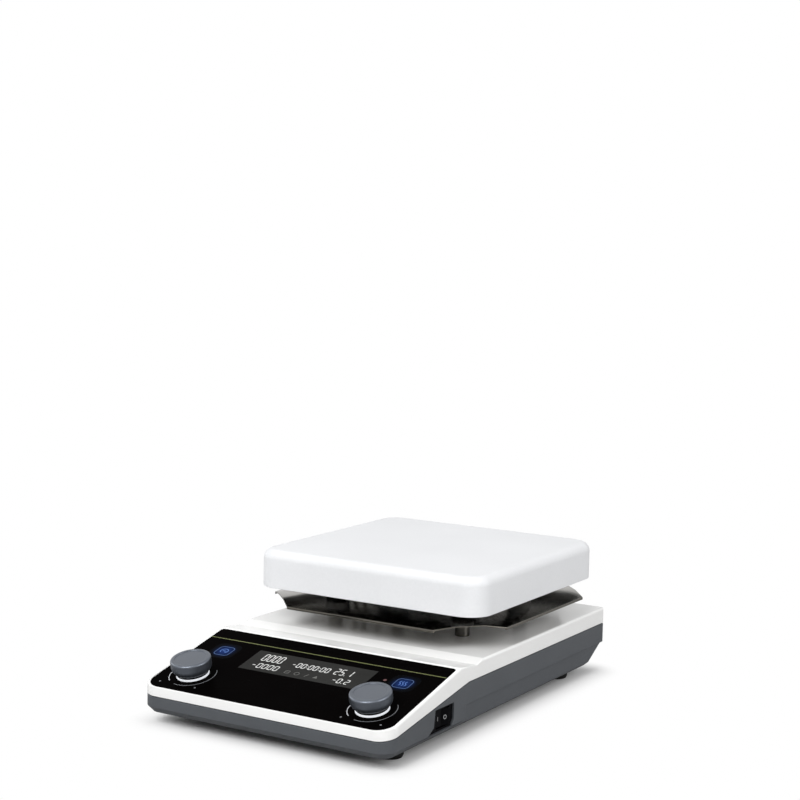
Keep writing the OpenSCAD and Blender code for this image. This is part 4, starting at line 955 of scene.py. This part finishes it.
@dataclass
class DisplayPrint:
    """Lit seven-segment numbers and dim symbols on the display's window, in millimetres.

    A row is its text, the x and t of its start, the height of a digit and the step to the next one.
    Widths of digits and points are shares of that step, rises of a colon shares of half the height.
    """

    slope: ControlSlope
    bar: float = 0.66
    bar_point: float = 0.12
    bar_base: float = 0.75
    bar_growth: float = 24.0
    bar_overlap: float = 0.25
    digit_w: float = 0.62
    point_w: float = 0.42
    colon: Sequence[float] = (0.55, 1.45)
    rows: Sequence[tuple[str, float, float, float, float]] = (
        ("0000", -37.0, 53.2, 8.2, 4.15),
        ("-0000", -38.7, 43.6, 5.6, 4.3),
        ("-00:00:00", -13.0, 52.4, 5.4, 3.75),
        ("25.1", 19.4, 52.6, 7.0, 4.0),
        ("-0.2", 23.5, 43.2, 5.2, 3.9),
    )
    symbol_x: Sequence[float] = (-10.5, -3.2, 4.3, 11.3)
    symbol_t: float = 45.0
    symbol_r: float = 1.7
    symbol_w: float = 0.45
    box_side: float = 3.2
    box_corner: float = 0.5
    dash_half: float = 0.9
    slash_w: float = 0.5
    peak_foot: float = 1.5

    def build(self) -> None:
        """Draws the numbers with copies of one bar, and the dim symbols with lines."""
        bars = Copies(self.bar_mesh())
        for row in self.rows:
            self.add_row(bars, *row)
        mesh = bars.mesh(DIGIT_LIT)
        mesh.transform(self.slope.frame)
        show("display_digits", mesh, DIGIT_LIT, "base", "display_dark")
        self.build_symbols()

    def bar_mesh(self) -> Mesh:
        """Makes one bar, 1 mm long and 1 mm wide, with pointed ends.

        Returns:
            The bar's mesh, about its middle.
        """
        bm = bmesh.new()
        half = 0.5
        neck = half - self.bar_point
        patch(bm, [(-half, 0), (-neck, -half), (neck, -half), (half, 0), (neck, half), (-neck, half)])
        return mesh_of(bm)

    def add_row(self, bars: Copies, text: str, x: float, t: float, height: float, pitch: float) -> None:
        """Adds the bars of one number.

        Args:
            bars: The copies that take them.
            text: Digits, a minus sign, colons and points.
            x: Where the number starts.
            t: Where its foot is.
            height: Height of a digit.
            pitch: Step from one digit to the next.
        """
        width = pitch * self.digit_w
        half = height / 2
        thick = self.bar * (self.bar_base + height / self.bar_growth)
        rises = {".": (0.0,), ":": self.colon}
        spots = {
            "a": (width / 2, height, 0), "g": (width / 2, half, 0), "d": (width / 2, 0, 0),
            "f": (0, half * 1.5, 1), "b": (width, half * 1.5, 1),
            "e": (0, half / 2, 1), "c": (width, half / 2, 1),
        }
        for letter in text:
            for rise in rises.get(letter, ()):
                bars.place(Vector((x, t + half * rise, 0)), 0, Vector((thick, thick, 1)))
            for name in SEGMENTS.get(letter, ""):
                dx, dt, upright = spots[name]
                length = (half if upright else width) - thick * self.bar_overlap
                bars.place(Vector((x + dx, t + dt, 0)), upright * math.pi / 2, Vector((length, thick, 1)))
            x += pitch * self.point_w if letter in rises else pitch

    def build_symbols(self) -> None:
        """Draws four dim status symbols between the numbers: a box, a ring, a slash and a peak."""
        bm = bmesh.new()
        box, ring, slash, peak = self.symbol_x
        t, reach, width, dash = self.symbol_t, self.symbol_r, self.symbol_w, self.dash_half
        foot = t - self.peak_foot
        stroke(bm, rounded_square(self.box_side, self.box_corner, (box, t)), width, True)
        stroke(bm, [(box - dash, t), (box + dash, t)], width)
        stroke(bm, circle(reach, (ring, t)), width, True)
        stroke(bm, [(slash - dash, t - reach), (slash + dash, t + reach)], self.slash_w)
        patch(bm, [(peak - reach, foot), (peak + reach, foot), (peak, t + reach)])
        self.slope.printed("display_symbols", bm, DIGIT_DIM)


@dataclass
class PowerSwitch:
    """The rocker switch on the right side, with its two marks. Sizes are millimetres.

    Triangles within flat_deg degrees are one face of the rocker. A face that looks outwards has a normal
    with at least the facing share along x.
    """

    frame_edge: float = 0.25
    rocker_edge: float = 0.3
    mark_w: float = 0.45
    bar_h: float = 2.6
    ring_r: float = 1.17
    flat_deg: float = 0.4
    facing: float = 0.9

    def build(self) -> None:
        """Builds the frame, the rocker and the marks on the rocker's two faces."""
        dress(self.frame_edge, "switch_frame")
        dress(self.rocker_edge, "switch_rocker")
        front, rear = self.faces()
        bar, ring = bmesh.new(), bmesh.new()
        stroke(bar, [(0, -self.bar_h / 2), (0, self.bar_h / 2)], self.mark_w)
        stroke(ring, circle(self.ring_r), self.mark_w, True)
        for name, bm, place in (("on", bar, front), ("off", ring, rear)):
            show(f"switch_mark_{name}", mesh_of(bm, place), MARK_WHITE, "rocker", "switch_black")

    def faces(self) -> list[Matrix]:
        """Finds the rocker's two faces.

        Returns:
            A frame on the middle of each, front first, with z out of the face and y up.
        """
        bm = merged("switch_rocker")
        bmesh.ops.dissolve_limit(
            bm, angle_limit=math.radians(self.flat_deg), verts=bm.verts, edges=bm.edges)
        outer = sorted((f for f in bm.faces if f.normal.x > self.facing), key=lambda f: -f.calc_area())
        places = []
        for face in sorted(outer[:2], key=lambda f: f.calc_center_median().y):
            out = face.normal.normalized()
            across = Vector((0, 0, 1)).cross(out).normalized()
            places.append(plane(face.calc_center_bounds(), across, out))
        bm.free()
        return places


@dataclass
class Case:
    """Cover, tray, rear panel, feet and the screws under the case. Sizes are millimetres.

    Each screw's key is turned on from the last one's by key_turn, in radians. Edges of a screw over
    crisp_deg degrees stay crisp.
    """

    cover_edge: float = 0.35
    tray_edge: float = 0.22
    part_edge: float = 0.25
    foot_edge: float = 0.5
    head_d: float = 5.6
    head_h: float = 2.2
    head_soft: float = 0.3
    shank_d: float = 3.0
    key_across: float = 2.5
    key_depth: float = 1.3
    key_turn: float = 0.37
    key_sides: int = 6
    round_steps: int = 24
    crisp_deg: float = 35.0

    def build(self) -> None:
        """Builds the shells, what is set into them and their screws."""
        dress(self.cover_edge, "top_cover")
        dress(self.tray_edge, "base_tray")
        dress(self.part_edge, "rear_panel", "power_inlet", "probe_socket", "rod_socket")
        dress(self.foot_edge, *at_corners("foot"))
        self.build_screws()

    def build_screws(self) -> None:
        """Replaces the plain screws under the case by screws with a six-sided key, long and short ones."""
        slot = SLOT_OF["fixing_screws"]
        kinds: dict[float, list[Vector]] = {}
        for low, high in self.islands("fixing_screws"):
            spot = Vector(((low.x + high.x) / 2, (low.y + high.y) / 2, low.z))
            kinds.setdefault(round((high.z - low.z) / MM, 1), []).append(spot)
        bm = bmesh.new()
        for length, spots in sorted(kinds.items()):
            screws = Copies(self.screw_mesh(length))
            for i, spot in enumerate(spots):
                screws.place(spot, self.key_turn * i)
            bm.from_mesh(screws.mesh(SLOT_FINISHES[slot], MM))
        show("case_screws", mesh_of(bm), SLOT_FINISHES[slot], "base", slot, "fixing_screws")

    def islands(self, node: str) -> list[tuple[Vector, Vector]]:
        """Gives the box of each separate solid in a node.

        Args:
            node: Name of the node.

        Returns:
            The lowest and highest corner of each solid.
        """
        bm = merged(node)
        left = set(bm.verts)
        boxes = []
        for start in bm.verts:
            found, edge = [], {start} & left
            left -= edge
            while edge:
                vert = edge.pop()
                found.append(vert.co)
                news = {e.other_vert(vert) for e in vert.link_edges} & left
                left -= news
                edge |= news
            if found:
                boxes.append(box_of(found))
        bm.free()
        return boxes

    def screw_mesh(self, length: float) -> Mesh:
        """Makes a screw that points up, with the face of its head at z = 0.

        Args:
            length: Length over all in millimetres.

        Returns:
            The template's mesh, in millimetres.
        """
        head, shank, soft = self.head_d / 2, self.shank_d / 2, self.head_soft
        flat = self.key_across / 2
        key = ((flat, self.key_depth), (flat, soft / 2), (flat + soft / 2, 0))
        body = ((head - soft, 0), (head, soft), (head, self.head_h), (shank, self.head_h),
                (shank, length - shank), (shank / 2, length))
        bm = bmesh.new()
        loft(bm, [self.ring(*row, self.key_sides) for row in key] + [self.ring(*row) for row in body])
        return mesh_of(bm, crisp=self.crisp_deg)

    def ring(self, reach: float, z: float, sides: int = 0) -> list[Vector]:
        """Gives a ring of the screw, with as many points whether it is round or has sides.

        Args:
            reach: Its radius, or how far its sides stand from its middle.
            z: Its height.
            sides: Number of its sides, or 0 for a round one.

        Returns:
            The ring's points.
        """
        points = []
        for x, y in circle(reach, steps=self.round_steps):
            lean = math.remainder(math.atan2(y, x), math.tau / sides) if sides else 0
            points.append(Vector((x / math.cos(lean), y / math.cos(lean), z)))
        return points


@dataclass
class PlateStack:
    """Hot plate, polished shield, posts and spacers. Sizes are millimetres."""

    plate_edge: float = 0.5
    sheet_edge: float = 0.22
    post_edge: float = 0.3

    def build(self) -> None:
        """Builds the plate and what carries it."""
        dress(self.plate_edge, "hot_plate")
        dress(self.sheet_edge, "heat_shield")
        dress(self.post_edge, "ceramic_spacers")
        # The posts take a darkened steel that paints their reflection of the shade under the plate
        dress(self.post_edge, *at_corners("post"), finish=POST_STEEL_PAINTED_DARK)


@dataclass
class Studio:
    """Floor, light and camera. Angles are degrees, lengths are metres, and the camera's are millimetres.

    A lamp is its name, its place, its side and its power in watts.
    """

    azimuth: float = 31.4
    elevation: float = 5.61
    roll: float = 1.17
    lens: float = 75.36
    sensor: float = 36.0
    camera_mm: Spot = (587.9, -954.1, 312.3)
    floor_half: float = 6.0
    floor_drop: float = 0.0002
    floor_inset: float = 0.012
    floor_far: float = 0.03
    floor_white: float = 0.84
    floor_bounce: float = 0.45
    ambient: float = 0.42
    lamps: Sequence[tuple[str, Spot, float, float]] = (
        ("Key", (-0.1, -1.5, 1.35), 1.1, 30.0),
        ("Side", (1.7, -0.1, 0.9), 1.2, 17.0),
        ("Left", (-1.6, -0.2, 0.9), 1.0, 6.0),
    )
    lamp_aim: Spot = (0, 0, 0.05)

    def build(self) -> None:
        """Builds the floor, the world, the lamps and the camera."""
        self.build_floor()
        self.build_world()
        for lamp in self.lamps:
            self.build_lamp(*lamp)
        self.build_camera()

    def build_floor(self) -> None:
        """Lays a pale floor under the feet."""
        bm = bmesh.new()
        reach = self.floor_half
        bm.faces.new([bm.verts.new((x * reach, y * reach, -self.floor_drop))
                      for x, y in ((-1, -1), (1, -1), (1, 1), (-1, 1))])
        floor = link("floor", mesh_of(bm))
        floor.data.materials.append(self.floor_material())

    def floor_material(self) -> Material:
        """Makes a floor that takes the shadow near the object and runs out into white.

        Returns:
            The floor's material.
        """
        made = bpy.data.materials.new("Pale_floor")
        made.use_nodes = True
        made.node_tree.nodes.clear()
        graph = Graph(made.node_tree)
        seen = graph.add("ShaderNodeLightPath").outputs["Is Camera Ray"]
        tint = graph.add("ShaderNodeMix", {
            "Factor": seen, MIX_A: (*[self.floor_bounce] * 3, 1), MIX_B: (*[self.floor_white] * 3, 1),
        }, data_type="RGBA")
        near = graph.add("ShaderNodeBsdfDiffuse", {"Color": tint.outputs[MIX_OUT]})
        white = graph.add("ShaderNodeEmission")
        fade = graph.add("ShaderNodeMapRange", {
            "Value": self.distance(graph), "From Max": self.floor_far}, interpolation_type="SMOOTHSTEP")
        mix = graph.add("ShaderNodeMixShader", {
            0: graph.math("MULTIPLY", fade.outputs[0], seen), 1: near.outputs[0], 2: white.outputs[0]})
        graph.add("ShaderNodeOutputMaterial", {"Surface": mix.outputs[0]})
        return made

    def distance(self, graph: Graph) -> NodeSocket:
        """Measures how far a point of the floor lies outside a line just inside the case's outline.

        Args:
            graph: The floor material's graph.

        Returns:
            The socket that carries the distance in metres.
        """
        # A line 1 m up keeps the height out of the distance
        line = (CAD_BOX[1][0] - self.floor_inset, CAD_BOX[1][1] - self.floor_inset, 1)
        place = graph.add("ShaderNodeTexCoord").outputs["Object"]
        for operation, values in (("ABSOLUTE", {}), ("SUBTRACT", {1: line}), ("MAXIMUM", {1: (0, 0, 0)})):
            step = graph.add("ShaderNodeVectorMath", {0: place, **values}, operation=operation)
            place = step.outputs["Vector"]
        return graph.add("ShaderNodeVectorMath", {0: place}, operation="LENGTH").outputs["Value"]

    def build_world(self) -> None:
        """Makes a white background that mirrors show too, with a softer light on everything else."""
        world = bpy.data.worlds.new("Studio")
        bpy.context.scene.world = world
        world.use_nodes = True
        world.node_tree.nodes.clear()
        graph = Graph(world.node_tree)
        path = graph.add("ShaderNodeLightPath").outputs
        seen = graph.math("MAXIMUM", path["Is Camera Ray"], graph.math(
            "MAXIMUM", path["Is Glossy Ray"], path["Is Transmission Ray"]))
        soft, white = (
            graph.add("ShaderNodeBackground", {"Color": (1, 1, 1, 1), "Strength": strength}).outputs[0]
            for strength in (self.ambient, 1.0))
        mix = graph.add("ShaderNodeMixShader", {0: seen, 1: soft, 2: white})
        graph.add("ShaderNodeOutputWorld", {"Surface": mix.outputs[0]})

    def build_lamp(self, name: str, spot: Spot, size: float, power: float) -> None:
        """Hangs a square soft box that faces the object.

        Args:
            name: Name of the lamp.
            spot: Where it hangs.
            size: Its side.
            power: Its power in watts.
        """
        data = bpy.data.lights.new(name, "AREA")
        data.shape = "SQUARE"
        data.size = size
        data.energy = power
        lamp = bpy.data.objects.new(name, data)
        aim = (Vector(self.lamp_aim) - Vector(spot)).to_track_quat("-Z", "Y")
        lamp.matrix_world = Matrix.Translation(spot) @ aim.to_matrix().to_4x4()
        bpy.context.scene.collection.objects.link(lamp)

    def build_camera(self) -> None:
        """Sets the camera at the photograph's place, angle and lens."""
        level = Euler([math.radians(angle) for angle in (90 - self.elevation, 0, self.azimuth)])
        turn = level.to_matrix() @ Matrix.Rotation(math.radians(self.roll), 3, "Z")
        data = bpy.data.cameras.new("Camera")
        data.lens = self.lens
        data.sensor_width = self.sensor
        camera = bpy.data.objects.new("Camera", data)
        camera.matrix_world = Matrix.Translation(Vector(self.camera_mm) * MM) @ turn.to_4x4()
        bpy.context.scene.collection.objects.link(camera)
        bpy.context.scene.camera = camera
        bpy.context.scene.view_settings.view_transform = "Standard"


def finish_inner_nodes() -> None:
    """Gives every node that still shows its slot's finish."""
    for name, node in frame["nodes"].items():
        if node.hide_render:
            continue
        finish = SLOT_FINISHES[SLOT_OF[name]]
        for slot in node.material_slots:
            slot.material = finish.material()
        LOG.info("%s: %s", name, finish.name)


def main() -> None:
    """Builds the studio and the object's sub-assemblies in order."""
    logging.basicConfig(level=logging.INFO, format="%(name)s: %(message)s")
    for part in (Studio(), Case(), ControlSlope(), PowerSwitch(), PlateStack()):
        part.build()
    finish_inner_nodes()


if __name__ == "__main__":
    main()
